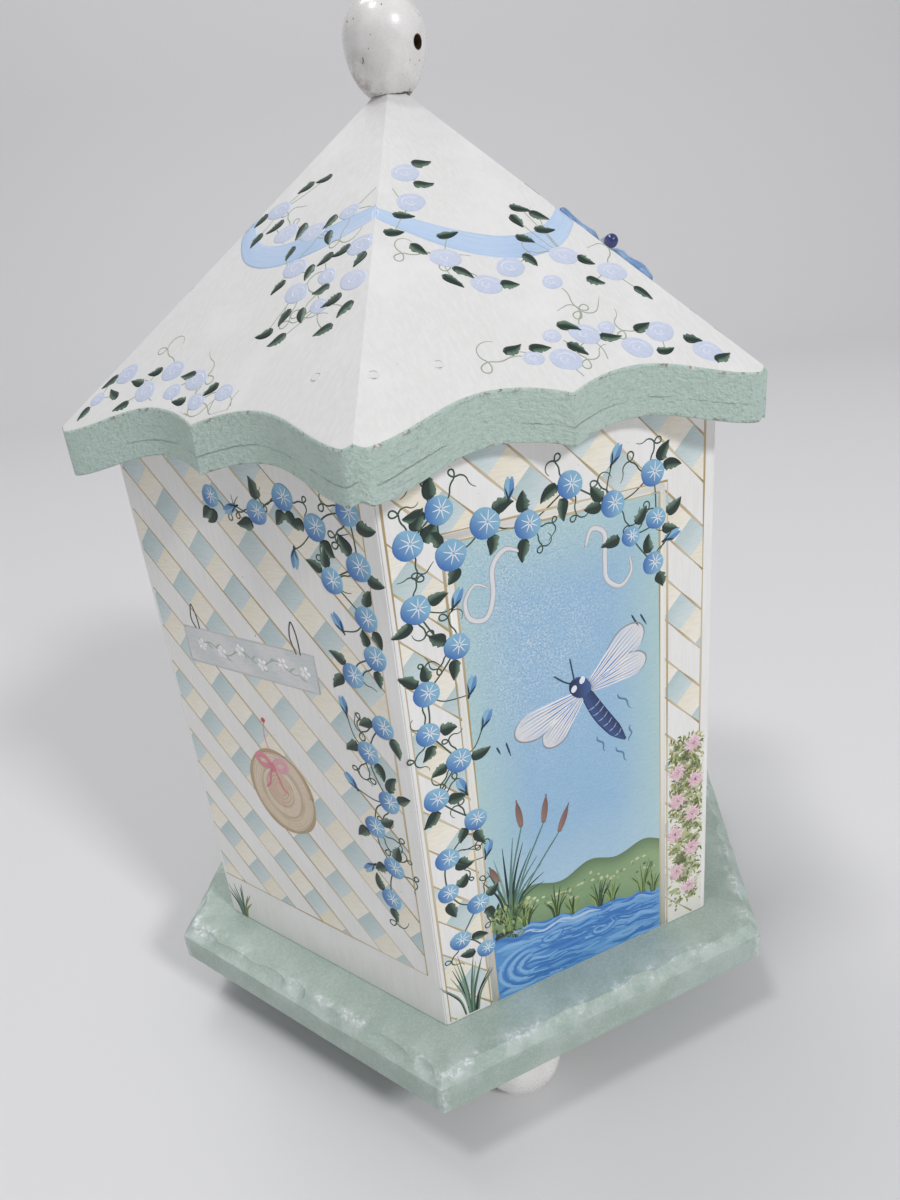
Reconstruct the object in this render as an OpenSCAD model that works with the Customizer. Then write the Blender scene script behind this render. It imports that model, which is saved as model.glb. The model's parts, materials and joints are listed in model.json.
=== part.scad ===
// Hexagonal garden birdhouse: a gazebo-shaped box of six mitred boards on a
// sage green base with four ball feet, under a six-sided roof with a scalloped
// eave and an egg finial. All sizes are in millimetres, +Z is up, and the
// origin is on the floor, under the middle of the base.

/* [Body] */
// Distance from the axis to an outside corner of the body
body_r = 100; // [96:0.5:101]
// Thickness of a wall board
wall_t = 9; // [8:0.5:10]
// Height of a wall's outer face above the base
wall_h = 182; // [150:1:200]
// Diameter of the entry hole
entry_d = 32; // [28:1:38]
// Height of the entry hole's centre above the base
entry_h = 115; // [80:1:125]

/* [Base] */
// Distance from the axis to a corner of the base
base_r = 119.5; // [117:0.5:124]
// Thickness of the base board
base_t = 12.5; // [12:0.5:18]
// Width of the worked bevel round the base's upper edge
base_bevel = 3; // [1:0.5:4]

/* [Feet] */
// Radius of a ball foot
ball_r = 14.5; // [14:0.5:16]
// Distance from the base's underside down to a ball's centre
ball_drop = 12; // [10:0.5:12.5]
// Distance from the floor up to a ball's centre
ball_stand = 14; // [13.5:0.1:14]
// Distance from the axis to a foot
foot_reach = 88.5; // [85:0.5:92]
// Turn of the square of feet from the front corner, in degrees
foot_turn = 13; // [10:1:15]

/* [Clean-out] */
// Diameter of the clean-out hole in the base
cleanout_d = 50; // [40:1:52]
// Radius of the swivel cover
cover_r = 31; // [29:0.5:32]
// Thickness of the swivel cover
cover_t = 4; // [3:0.5:5]
// Distance from the middle of the cover to its pivot
pivot_reach = 36; // [34:0.5:38]
// Direction of the pivot from the axis, in degrees
pivot_turn = 88; // [85:1:91]

/* [Roof] */
// Distance from the axis to a roof corner, before the corner is rounded
roof_r = 114.2; // [112:0.2:116]
// Slope of the roof faces, in degrees
roof_slope = 40.6; // [38:0.1:43]
// Thickness of a roof board
roof_t = 10; // [9:0.5:11]
// Height of the two arches of each eave, measured up the slope
arch_h = 9.5; // [6:0.5:11]
// Height of the point between the two arches, measured up the slope
cusp_h = 4.5; // [2:0.5:5.5]
// Radius that rounds the roof corners
roof_corner_r = 112.6; // [111:0.1:113]
// Distance from the axis to the flats of the cut roof tip
tip_flat = 5; // [4.5:0.1:6]

/* [Finial] */
// Largest radius of the egg
finial_r = 12.3; // [11:0.1:14]
// Radius of the egg's flat base
finial_foot_r = 5.9; // [5:0.1:6.5]
// Length of the egg's lower half, if it were not cut flat
egg_lower = 16.7; // [15:0.1:20]
// Length of the egg's upper half
egg_upper = 12.1; // [11:0.1:20]
// Diameter of the hanging hole across the egg
hang_d = 3.5; // [3:0.1:5]
// Direction of the hanging hole, in degrees
hang_turn = -30; // [-40:1:-20]

/* [Dragonfly] */
// Span of the front wings
wing_span = 36; // [30:1:38]
// Thickness of the wings
wing_t = 1.3; // [1.2:0.1:2]
// Distance up the slope from the straight eave line to the dragonfly
dragonfly_up = 50; // [46:1:55]

/* [Hidden] */

// Facing of each side's outward normal, in degrees
FRONT_LEFT = -120;
FRONT_RIGHT = -60;
RIGHT = 0;
BACK_RIGHT = 60;
BACK_LEFT = 120;
LEFT = 180;
SIDES = [FRONT_LEFT, FRONT_RIGHT, RIGHT, BACK_RIGHT, BACK_LEFT, LEFT];

white = "#efece4";
sage = "#a3bdae";
raw_wood = "#c9a878";
zinc = "#b9bbbd";
sky_blue = "#a8c6ea";
navy = "#232f63";

half_side = tan(30);
smooth = 96;
// Room between a screw and the hole that turns on it
fit_gap = 0.05;
// Room above and below the swinging cover
swing_gap = 0.3;
// Longer than the whole birdhouse, for cuts that run right through
reach = 260;

base_bottom = ball_stand + ball_drop;
base_top = base_bottom + base_t;
base_flat = base_r * cos(30);
wall_out = body_r * cos(30);
wall_in = wall_out - wall_t;
wall_top = base_top + wall_h;

eave = roof_r * cos(30);
eave_half = eave * half_side;
roof_rise = roof_t / cos(roof_slope);
apex_under = wall_top + wall_out * tan(roof_slope);
apex = apex_under + roof_rise;
tip_top = apex - tip_flat * tan(roof_slope);
arch_at = 20;
eave_steps = 36;

foot_dowel_r = 3;
foot_dowel_up = 9;
foot_dowel_down = 11;
end_gap = 0.5;

screw_r = 1.75;
screw_head_r = 3.5;
wall_screw_up = 20;
screw_line = (wall_in + wall_out) / 2;
cover_top = base_bottom - swing_gap;
cover_bottom = cover_top - cover_t;
pivot_hole_r = screw_r + fit_gap;
lug_r = 7;
keeper_reach = cover_r + 0.3 + screw_r;
round_screw_up = 9;

brad_r = 0.8;
brad_len = 32;
brad_sink = 0.5;
brad_line = wall_out - 2.6;
BRAD_PLACES = [-45, -29, 35];

hub_flat = 20;
hub_depth = 32;
dowel_r = 2.5;
dowel_down = 28;
dowel_up = 7.5;
egg_base = tip_top;
egg_start = acos(finial_foot_r / finial_r);
egg_middle = egg_base + egg_lower * sin(egg_start);
egg_steps = 24;
hang_up = -3;

wing_half_w = 3.6;
wing_root = 4;
dragonfly_r = 1.4;
dragonfly_front = -10;
dragonfly_tail = 25;
head_r = 2.1;
head_start = -56;
head_steps = 16;

// Repeats its children on the side that faces the given way
module side(facing) {
    rotate([0, 0, facing]) children();
}

// Places its children on the roof's underside at the wall line, with X down the slope
module on_slope() {
    translate([wall_out, 0, wall_top]) rotate([0, roof_slope, 0]) children();
}

// Everything above the roof boards' underside, on the side that faces +X
module above_underside() {
    on_slope() translate([-reach, -reach / 2, 0]) cube([2 * reach, reach, reach]);
}

module foot_place(number) {
    rotate([0, 0, -90 + foot_turn + 90 * number]) translate([foot_reach, 0, 0]) children();
}

// A round-headed wood screw pointing up, with its head below z = 0
module round_screw(length) {
    head_h = 2.2;
    rim_h = 0.8;
    crown_r = 2.2;
    slot_w = 0.8;
    slot_h = 0.9;
    tip_h = 3;
    difference() {
        union() {
            translate([0, 0, -rim_h]) cylinder(r = screw_head_r, h = rim_h, $fn = smooth);
            translate([0, 0, -head_h])
                cylinder(r1 = crown_r, r2 = screw_head_r, h = head_h - rim_h, $fn = smooth);
        }
        translate([-screw_head_r - 1, -slot_w / 2, -head_h - 1]) cube([2 * screw_head_r + 2, slot_w, slot_h + 1]);
    }
    cylinder(r = screw_r, h = length - tip_h, $fn = smooth);
    translate([0, 0, length - tip_h]) cylinder(r1 = screw_r, r2 = 0.3, h = tip_h, $fn = smooth);
}

// Pilot hole for a screw
module pilot(length) {
    translate([0, 0, -1]) cylinder(r = screw_r + fit_gap, h = length + 1 + end_gap, $fn = smooth);
}

// Pilot hole with a countersink at its mouth
module countersunk_pilot(length) {
    r = screw_r + fit_gap;
    cone = screw_head_r - screw_r;
    rotate_extrude($fn = smooth)
        polygon([[0, -1], [r + cone + 1, -1], [r, cone], [r, length + end_gap], [0, length + end_gap]]);
}

module pivot_place() {
    rotate([0, 0, pivot_turn]) translate([pivot_reach, 0, 0]) children();
}

module keeper_place() {
    rotate([0, 0, pivot_turn + 180]) translate([keeper_reach, 0, 0]) children();
}

// Hexagonal base board with its bevel, clean-out hole and fixing holes
module base_plate() {
    color(sage) difference() {
        translate([0, 0, base_bottom]) rotate([0, 0, 30]) cylinder(r = base_r, h = base_t, $fn = 6);
        for (facing = SIDES) side(facing)
            translate([base_flat, 0, base_top]) rotate([0, 45, 0])
                translate([-base_t, -reach, -base_bevel / sqrt(2)]) cube([2 * base_t, 2 * reach, base_t]);
        translate([0, 0, base_bottom - 1]) cylinder(d = cleanout_d, h = base_t + 2, $fn = smooth);
        for (number = [0:3]) foot_place(number) translate([0, 0, base_bottom - 1])
            cylinder(r = foot_dowel_r + fit_gap, h = foot_dowel_up + end_gap + 1, $fn = smooth);
        for (facing = SIDES) side(facing) translate([screw_line, 0, base_bottom]) countersunk_pilot(base_t + 1);
        translate([0, 0, base_bottom]) {
            pivot_place() pilot(round_screw_up);
            keeper_place() pilot(round_screw_up);
        }
    }
}

// Wooden ball with a flat top under the base and a small flat to stand on
module foot(number) {
    color(white) foot_place(number) difference() {
        translate([0, 0, ball_stand]) sphere(r = ball_r, $fn = smooth);
        translate([-reach, -reach, base_bottom]) cube([2 * reach, 2 * reach, reach]);
        translate([-reach, -reach, -reach]) cube([2 * reach, 2 * reach, reach]);
        translate([0, 0, base_bottom - foot_dowel_down - end_gap])
            cylinder(r = foot_dowel_r + fit_gap, h = foot_dowel_down + end_gap + 1, $fn = smooth);
    }
}

module foot_dowels() {
    color(raw_wood) for (number = [0:3]) foot_place(number)
        translate([0, 0, base_bottom - foot_dowel_down])
            cylinder(r = foot_dowel_r, h = foot_dowel_down + foot_dowel_up, $fn = smooth);
}

// Wall board, mitred at both ends and cut to the roof's slope at the top
module wall_board(facing) {
    side(facing) difference() {
        translate([0, 0, base_top]) linear_extrude(height = wall_h + wall_t)
            polygon([[wall_in, -wall_in * half_side], [wall_out, -wall_out * half_side],
                     [wall_out, wall_out * half_side], [wall_in, wall_in * half_side]]);
        above_underside();
        translate([screw_line, 0, base_top]) pilot(wall_screw_up);
        for (place = BRAD_PLACES) brad_hole(place);
    }
}

module wall(facing) {
    color(white) wall_board(facing);
}

module wall_right() {
    color(white) difference() {
        wall_board(RIGHT);
        translate([wall_in - 1, 0, base_top + entry_h]) rotate([0, 90, 0])
            cylinder(d = entry_d, h = wall_t + 2, $fn = smooth);
    }
}

// One countersunk screw up through the base into each wall
module wall_screws() {
    tip_h = 3;
    slot_w = 0.8;
    slot_h = 0.8;
    color(zinc) for (facing = SIDES) side(facing) translate([screw_line, 0, base_bottom]) difference() {
        union() {
            cylinder(r1 = screw_head_r, r2 = screw_r, h = screw_head_r - screw_r, $fn = smooth);
            cylinder(r = screw_r, h = base_t + wall_screw_up - tip_h, $fn = smooth);
            translate([0, 0, base_t + wall_screw_up - tip_h])
                cylinder(r1 = screw_r, r2 = 0.3, h = tip_h, $fn = smooth);
        }
        translate([-reach, -slot_w / 2, -1]) cube([2 * reach, slot_w, slot_h + 1]);
    }
}

// Swivel cover that closes the clean-out hole from below
module cleanout_cover() {
    color(sage) translate([0, 0, cover_bottom]) difference() {
        linear_extrude(height = cover_t) union() {
            circle(r = cover_r, $fn = smooth);
            rotate([0, 0, pivot_turn]) translate([0, -lug_r]) square([pivot_reach, 2 * lug_r]);
            rotate([0, 0, pivot_turn]) translate([pivot_reach, 0]) circle(r = lug_r, $fn = smooth);
        }
        pivot_place() translate([0, 0, -1]) cylinder(r = pivot_hole_r, h = cover_t + 2, $fn = smooth);
    }
}

module cover_pivot_screw() {
    color(zinc) pivot_place() translate([0, 0, cover_bottom - swing_gap])
        round_screw(cover_t + 2 * swing_gap + round_screw_up);
}

module cover_keeper_screw() {
    color(zinc) keeper_place() translate([0, 0, cover_bottom - swing_gap])
        round_screw(cover_t + 2 * swing_gap + round_screw_up);
}

// Height of the eave line above its straight chord, measured up the slope
function eave_depth(y) =
    abs(y) < arch_at
        ? arch_h - (arch_h - cusp_h) * pow((arch_at - abs(y)) / arch_at, 2)
        : arch_h * (1 + cos(180 * (abs(y) - arch_at) / (eave_half - arch_at))) / 2;

// A roof board's outline from above: two mitred edges and the scalloped eave
function eave_points() = [
    for (i = [0:eave_steps])
        let (y = eave_half * (2 * i / eave_steps - 1))
        [eave - eave_depth(y) * cos(roof_slope), y]
];

module brad_place(y) {
    drop = (wall_out - brad_line) * tan(roof_slope);
    translate([brad_line, y, wall_top + drop + roof_rise - brad_sink]) children();
}

module brad_hole(y) {
    brad_place(y) translate([0, 0, -brad_len - end_gap])
        cylinder(r = brad_r + fit_gap, h = brad_len + 2 * end_gap + 1, $fn = 24);
}

module roof_board(facing) {
    color(white) side(facing) difference() {
        intersection() {
            translate([0, 0, base_top]) linear_extrude(height = 2 * reach) polygon(concat([[0, 0]], eave_points()));
            on_slope() translate([-reach, -reach / 2, 0]) cube([2 * reach, reach, roof_t]);
            cylinder(r = roof_corner_r, h = 2 * reach, $fn = 192);
        }
        translate([-reach, -reach, tip_top]) cube([2 * reach, 2 * reach, reach]);
        cylinder(r = dowel_r + fit_gap, h = 2 * reach, $fn = smooth);
        for (place = BRAD_PLACES) brad_hole(place);
    }
}

// Three thin nails through each roof board into the top of its wall
module roof_brads() {
    color(zinc) for (facing = SIDES) side(facing)
        for (place = BRAD_PLACES) brad_place(place) translate([0, 0, -brad_len])
            cylinder(r = brad_r, h = brad_len, $fn = 24);
}

// Glue block under the tip, cut to the roof boards' underside
module roof_hub() {
    color(raw_wood) difference() {
        translate([0, 0, apex_under - hub_depth]) rotate([0, 0, 30])
            cylinder(r = hub_flat / cos(30), h = hub_depth, $fn = 6);
        for (facing = SIDES) side(facing) above_underside();
        translate([0, 0, tip_top - dowel_down - end_gap])
            cylinder(r = dowel_r + fit_gap, h = reach, $fn = smooth);
    }
}

// Half of the egg's outline, from its flat base to its top
function egg_points() = concat(
    [[0, egg_base]],
    [for (i = [0:egg_steps]) let (a = -egg_start * (1 - i / egg_steps))
        [finial_r * cos(a), egg_middle + egg_lower * sin(a)]],
    [for (i = [1:egg_steps - 1]) let (a = 90 * i / egg_steps)
        [finial_r * cos(a), egg_middle + egg_upper * sin(a)]],
    [[0, egg_middle + egg_upper]]
);

module finial() {
    color(white) difference() {
        rotate_extrude($fn = smooth) polygon(egg_points());
        translate([0, 0, egg_base - 1]) cylinder(r = dowel_r + fit_gap, h = dowel_up + end_gap + 1, $fn = smooth);
        rotate([0, 0, hang_turn]) translate([0, 0, egg_middle + hang_up]) rotate([0, 90, 0])
            cylinder(d = hang_d, h = 4 * finial_r, center = true, $fn = 48);
    }
}

module finial_dowel() {
    color(raw_wood) translate([0, 0, tip_top - dowel_down])
        cylinder(r = dowel_r, h = dowel_down + dowel_up, $fn = smooth);
}

// Places its children on the right roof board's upper face, with X down the slope
module on_dragonfly() {
    down = (eave - wall_out - roof_t * sin(roof_slope)) / cos(roof_slope) - dragonfly_up;
    on_slope() translate([down, 0, roof_t]) children();
}

// Long oval wing that starts at the origin and points along X
function wing_points(length) = [
    for (a = [0:10:350]) [length / 2 * (1 + cos(a)), wing_half_w * sin(a) * (1 + 0.25 * cos(a))]
];

module wing_pair(length, sweep) {
    linear_extrude(height = wing_t) union() {
        rotate([0, 0, sweep]) polygon(wing_points(length));
        rotate([0, 0, 180 - sweep]) polygon(wing_points(length));
        square([wing_root, wing_root], center = true);
    }
}

module dragonfly_wings_front() {
    color(sky_blue) on_dragonfly() translate([0, -4, 0]) wing_pair(wing_span / 2, -8);
}

module dragonfly_wings_rear() {
    color(sky_blue) on_dragonfly() translate([0, 4, 0]) wing_pair(wing_span / 2 - 2, 12);
}

module dragonfly_body() {
    color(navy) on_dragonfly() translate([0, 0, wing_t + dragonfly_r]) rotate([-90, 0, 0]) {
        translate([0, 0, dragonfly_front]) cylinder(r = dragonfly_r, h = 18, $fn = 48);
        translate([0, 0, dragonfly_front + 18])
            cylinder(r1 = dragonfly_r, r2 = 0.8, h = dragonfly_tail - dragonfly_front - 18, $fn = 48);
    }
}

// Half of the bead's outline: a ball with a flat where it meets the body
function head_points() = concat(
    [[0, 0]],
    [for (i = [0:head_steps]) let (a = head_start + (90 - head_start) * i / head_steps)
        [head_r * cos(a), head_r * (sin(a) - sin(head_start))]]
);

module dragonfly_head() {
    color(navy) on_dragonfly() translate([0, dragonfly_front, wing_t + dragonfly_r]) rotate([90, 0, 0])
        rotate_extrude($fn = smooth) polygon(head_points());
}

base_plate();
foot(0);  // foot_front
foot(1);  // foot_right
foot(2);  // foot_back
foot(3);  // foot_left
foot_dowels();
wall(FRONT_LEFT);  // wall_front_left
wall(FRONT_RIGHT);  // wall_front_right
wall_right();
wall(BACK_RIGHT);  // wall_back_right
wall(BACK_LEFT);  // wall_back_left
wall(LEFT);  // wall_left
wall_screws();
cleanout_cover();
cover_pivot_screw();
cover_keeper_screw();
roof_board(FRONT_LEFT);  // roof_front_left
roof_board(FRONT_RIGHT);  // roof_front_right
roof_board(RIGHT);  // roof_right
roof_board(BACK_RIGHT);  // roof_back_right
roof_board(BACK_LEFT);  // roof_back_left
roof_board(LEFT);  // roof_left
roof_brads();
roof_hub();
finial();
finial_dowel();
dragonfly_wings_front();
dragonfly_wings_rear();
dragonfly_body();
dragonfly_head();
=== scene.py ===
"""Looks of the hexagonal garden birdhouse: boards, worked base edge, turned parts and hand painting.

Lengths in the layouts are in millimetres on a panel: s runs to the right as seen from outside, t runs up from
the panel's lower edge. Panel.at turns them into metres in the frame's own axes. A colour is a hex text or a
linear RGBA tuple. Where a stroke's width or colour may change along it, a plain value means an even one.
"""

import functools
import json
import math
import random

import bmesh
import bpy
import numpy as np
from mathutils import Matrix, Vector, noise


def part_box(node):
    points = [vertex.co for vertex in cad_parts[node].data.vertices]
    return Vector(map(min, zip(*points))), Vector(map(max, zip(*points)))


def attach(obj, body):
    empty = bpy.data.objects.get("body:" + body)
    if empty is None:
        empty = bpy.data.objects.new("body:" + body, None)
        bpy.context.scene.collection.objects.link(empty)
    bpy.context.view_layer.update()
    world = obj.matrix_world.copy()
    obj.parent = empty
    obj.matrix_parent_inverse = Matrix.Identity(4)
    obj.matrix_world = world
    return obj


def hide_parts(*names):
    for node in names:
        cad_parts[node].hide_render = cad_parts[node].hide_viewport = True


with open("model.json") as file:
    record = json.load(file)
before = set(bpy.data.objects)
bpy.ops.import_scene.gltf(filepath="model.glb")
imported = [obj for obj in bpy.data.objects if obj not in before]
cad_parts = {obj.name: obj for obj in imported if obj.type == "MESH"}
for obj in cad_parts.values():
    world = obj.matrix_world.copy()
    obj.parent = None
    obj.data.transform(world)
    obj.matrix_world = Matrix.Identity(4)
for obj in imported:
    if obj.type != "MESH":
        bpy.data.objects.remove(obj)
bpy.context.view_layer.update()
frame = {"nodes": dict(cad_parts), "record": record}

MM = 0.001
COS30 = math.cos(math.pi / 6)
TAN30 = math.tan(math.pi / 6)
SIDES = {"front_left": -120, "front_right": -60, "right": 0, "back_right": 60, "back_left": 120, "left": 180}

# ---------------------------------------------------------------- sizes, from the frame
base_low, base_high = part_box("base_plate")
wall_low, wall_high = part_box("wall_right")
roof_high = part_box("roof_right")[1]
BASE_BOTTOM, BASE_TOP = base_low.z, base_high.z
BASE_FLAT = base_high.x
WALL_OUT, WALL_IN = wall_high.x, wall_low.x
ROOF_CORNER_R = roof_high.y * 2
ROOF_CORNER_CUT = 1.6 * MM
EAVE = (ROOF_CORNER_R + ROOF_CORNER_CUT) * COS30
EAVE_HALF = EAVE * TAN30
TIP_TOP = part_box("finial")[0].z


def roof_top_plane():
    """(unit normal, a point) of the right roof board's upper face."""
    polygons = frame["nodes"]["roof_right"].data.polygons
    best = max((p for p in polygons if p.normal.z > 0.5 and p.normal.x > 0.3), key=lambda p: p.area)
    return best.normal.copy(), best.center.copy()


roof_normal, roof_point = roof_top_plane()
SLOPE = math.atan2(roof_normal.x, roof_normal.z)
ROOF_APEX = roof_point.z + roof_point.x * math.tan(SLOPE)
ROOF_BOARD = 10 * MM
ROOF_RISE = ROOF_BOARD / math.cos(SLOPE)
WALL_TOP = ROOF_APEX - ROOF_RISE - WALL_OUT * math.tan(SLOPE)


def mount(name):
    """The record's mount of that name."""
    return next(m for m in frame["record"]["mounts"] if m["name"] == name)


def in_scene(name, data):
    """A new object in the scene."""
    thing = bpy.data.objects.new(name, data)
    bpy.context.scene.collection.objects.link(thing)
    return thing


def smoothed(mesh):
    """The mesh, shaded smooth."""
    for polygon in mesh.polygons:
        polygon.use_smooth = True
    return mesh


# ---------------------------------------------------------------- camera, light and floor
CAMERA_TURN = math.radians(7.94)
LAMP_AIM = Vector((0, 0, 0.17))


def make_camera():
    """A wide lens close to the front corner, looking down and rolled a little."""
    data = bpy.data.cameras.new("camera")
    data.sensor_width = 36
    data.lens = 24.9
    data.clip_start = 0.01
    cam = in_scene("camera", data)
    dip, roll = math.radians(22.7), math.radians(-6.19)
    turned = Matrix.Rotation(CAMERA_TURN, 4, "Z") @ Matrix.Rotation(math.pi / 2 - dip, 4, "X")
    place = Vector((41.0, -283.6, 221.3)) * MM + Vector((0, 0, BASE_TOP))
    cam.matrix_world = Matrix.Translation(place) @ turned @ Matrix.Rotation(roll, 4, "Z")
    bpy.context.scene.camera = cam


def area_light(name, azimuth, elevation, size, power, colour, distance=3.0):
    """A square lamp that looks at the middle of the object; azimuth 0 is along +X."""
    data = bpy.data.lights.new(name, "AREA")
    data.shape = "SQUARE"
    data.size = size
    data.energy = power
    data.color = colour
    lamp = in_scene(name, data)
    a, e = math.radians(azimuth), math.radians(elevation)
    away = Vector((math.cos(a) * math.cos(e), math.sin(a) * math.cos(e), math.sin(e)))
    lamp.location = away * distance + LAMP_AIM
    lamp.rotation_euler = away.to_track_quat("Z", "Y").to_euler()


def sweep_mesh():
    """A floor that curves up into a low backdrop behind the object, square to the camera."""
    near, bend, radius, top, half = -40.0, 1.5, 0.7, 1.5, 9.0
    profile = [(near, 0.0), (-1.0, 0.0), (bend, 0.0)]
    for k in range(1, 13):
        a = math.pi / 2 * k / 12
        profile.append((bend + radius * math.sin(a), radius * (1 - math.cos(a))))
    profile.append((bend + radius, top))
    turn = Matrix.Rotation(CAMERA_TURN, 3, "Z")
    points = [turn @ Vector((x, y, z)) for y, z in profile for x in (-half, half)]
    faces = [(2 * k, 2 * k + 1, 2 * k + 3, 2 * k + 2) for k in range(len(profile) - 1)]
    mesh = bpy.data.meshes.new("floor")
    mesh.from_pydata(points, [], faces)
    return smoothed(mesh)


def make_studio():
    world = bpy.data.worlds.new("studio")
    bpy.context.scene.world = world
    world.use_nodes = True
    sky = world.node_tree.nodes["Background"]
    sky.inputs["Color"].default_value = (0.96, 0.97, 1.0, 1)
    sky.inputs["Strength"].default_value = 0.37
    area_light("key", -42, 35, 0.42, 37, (0.985, 0.99, 1.0))
    area_light("fill", -135, 72, 0.5, 18, (1.0, 0.99, 0.985))
    area_light("overhead", 135, 68, 1.2, 18, (0.985, 0.99, 1.0))
    floor = in_scene("floor", sweep_mesh())
    mat = bpy.data.materials.new("floor")
    mat.use_nodes = True
    bsdf = mat.node_tree.nodes["Principled BSDF"]
    bsdf.inputs["Base Color"].default_value = (0.74, 0.735, 0.74, 1)
    bsdf.inputs["Roughness"].default_value = 0.7
    floor.data.materials.append(mat)
    bpy.context.scene.view_settings.view_transform = "Standard"


make_camera()
make_studio()


# ---------------------------------------------------------------- colours
@functools.lru_cache(None)
def from_hex(text):
    """Linear RGBA from a hex colour."""
    channels = [int(text[i:i + 2], 16) / 255 for i in (1, 3, 5)]
    return tuple(c / 12.92 if c < 0.04045 else ((c + 0.055) / 1.055) ** 2.4 for c in channels) + (1.0,)


def rgba(colour):
    """A colour as linear RGBA; anything but a hex text is left as it is."""
    return from_hex(colour) if isinstance(colour, str) else colour


def blend(a, b, f):
    """Colour f of the way from a to b."""
    f = min(max(f, 0.0), 1.0)
    return tuple(x + (y - x) * f for x, y in zip(rgba(a), rgba(b)))


INK = "#1c3029"
LEAF_DARK = "#1d332b"
LEAF_LIGHT = "#6f8b76"
TENDRIL = "#34503f"
DEEP_BLUE = "#4678bb"
PALE_BLUE = "#8bbad6"
STAR = "#f2f4fa"
AQUA = "#b8cdce"
CREAM = "#f2e9d3"
GOLD = "#b19a6c"
LAVENDER = "#c6cfe3"
RIBBON = "#b9cfea"
PINK = "#e9bcc8"
OLIVE = "#8b8f45"


# ---------------------------------------------------------------- material nodes
class Nodes:
    """Short names for building a shader tree."""

    def __init__(self, name):
        self.material = bpy.data.materials.new(name)
        self.material.use_nodes = True
        self.tree = self.material.node_tree
        self.bsdf = self.tree.nodes["Principled BSDF"]

    def put(self, node, socket, value):
        """Sets a socket to a value or links it to another node's output."""
        target = node.inputs[socket]
        if isinstance(value, bpy.types.NodeSocket):
            self.tree.links.new(value, target)
        else:
            target.default_value = value

    def attribute(self, name, kind="Vector"):
        node = self.tree.nodes.new("ShaderNodeAttribute")
        node.attribute_name = name
        return node.outputs[kind]

    def parts(self, vector):
        node = self.tree.nodes.new("ShaderNodeSeparateXYZ")
        self.put(node, 0, vector)
        return node.outputs

    def math(self, operation, a, b=0.0):
        node = self.tree.nodes.new("ShaderNodeMath")
        node.operation = operation
        self.put(node, 0, a)
        self.put(node, 1, b)
        return node.outputs[0]

    def plus(self, a, b):
        return self.math("ADD", a, b)

    def minus(self, a, b):
        return self.math("SUBTRACT", a, b)

    def times(self, a, b):
        return self.math("MULTIPLY", a, b)

    def scaled(self, vector, scale):
        node = self.tree.nodes.new("ShaderNodeVectorMath")
        node.operation = "MULTIPLY"
        self.put(node, 0, vector)
        node.inputs[1].default_value = scale
        return node.outputs[0]

    def noise(self, vector, scale, detail=3.0, rough=0.55, distortion=0.0):
        node = self.tree.nodes.new("ShaderNodeTexNoise")
        self.put(node, "Vector", vector)
        node.inputs["Scale"].default_value = scale
        node.inputs["Detail"].default_value = detail
        node.inputs["Roughness"].default_value = rough
        node.inputs["Distortion"].default_value = distortion
        return node.outputs[0]

    def remap(self, value, low, high, to_low=0.0, to_high=1.0):
        node = self.tree.nodes.new("ShaderNodeMapRange")
        node.interpolation_type = "SMOOTHSTEP"
        self.put(node, 0, value)
        for i, number in enumerate((low, high, to_low, to_high)):
            node.inputs[i + 1].default_value = number
        return node.outputs[0]

    def mix(self, factor, a, b):
        node = self.tree.nodes.new("ShaderNodeMix")
        node.data_type = "RGBA"
        self.put(node, 0, factor)
        self.put(node, 6, rgba(a))
        self.put(node, 7, rgba(b))
        return node.outputs[2]

    def coordinates(self):
        node = self.tree.nodes.new("ShaderNodeTexCoord")
        return node.outputs["Object"]

    def finished(self, colour, roughness, height, strength, depth):
        """The material with its colour, roughness and relief, whose bumps are depth mm high."""
        self.put(self.bsdf, "Base Color", colour)
        self.put(self.bsdf, "Roughness", roughness)
        bump = self.tree.nodes.new("ShaderNodeBump")
        bump.inputs["Strength"].default_value = strength
        bump.inputs["Distance"].default_value = depth * MM
        self.put(bump, "Height", height)
        self.put(self.bsdf, "Normal", bump.outputs[0])
        return self.material


def board_paint(name, base, shade, light, bristle, rough, grain):
    """Brushed paint on a board: streaks along the flow attribute, small pits and uneven cover."""
    n = Nodes(name)
    flow = n.attribute("flow")
    streak = n.noise(n.scaled(flow, grain), 1.0, 4, 0.6)
    cloud = n.noise(n.scaled(flow, (0.05, 0.05, 1)), 1.0, 3)
    pits = n.noise(n.scaled(flow, (1.0, 1.0, 1)), 1.0, 3)
    pit = n.remap(pits, 0.68, 0.73)
    colour = n.mix(n.remap(streak, 0.35, 0.7), shade, base)
    colour = n.mix(n.remap(cloud, 0.45, 0.75, 0, 0.7), colour, light)
    colour = n.mix(n.times(pit, 0.25), colour, shade)
    speck = n.remap(n.noise(n.scaled(flow, (0.8, 0.8, 1)), 1.0, 1), 0.79, 0.81, 0, 0.6)
    colour = n.mix(speck, colour, "#8f8880")
    roughness = n.remap(streak, 0.3, 0.7, rough + 0.08, rough - 0.06)
    height = n.minus(n.times(streak, bristle), n.times(pit, 0.5))
    return n.finished(colour, roughness, height, 0.5, 0.14)


# Walls and roof carry one white paint. The walls' copy is a little lighter and the roof's a little darker:
# painted light and shade, so that the boards facing up come out no brighter than the walls.
WHITE = board_paint("white_paint", "#f0efed", "#ebe9e6", "#f4f3f2", 0.25, 0.42, (0.07, 0.9, 0.9))
SHADED_ROOF_WHITE = board_paint("shaded_roof_white", "#e3e2e1", "#dcdbd9", "#e8e7e7", 0.12, 0.5, (0.3, 0.9, 0.9))


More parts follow.
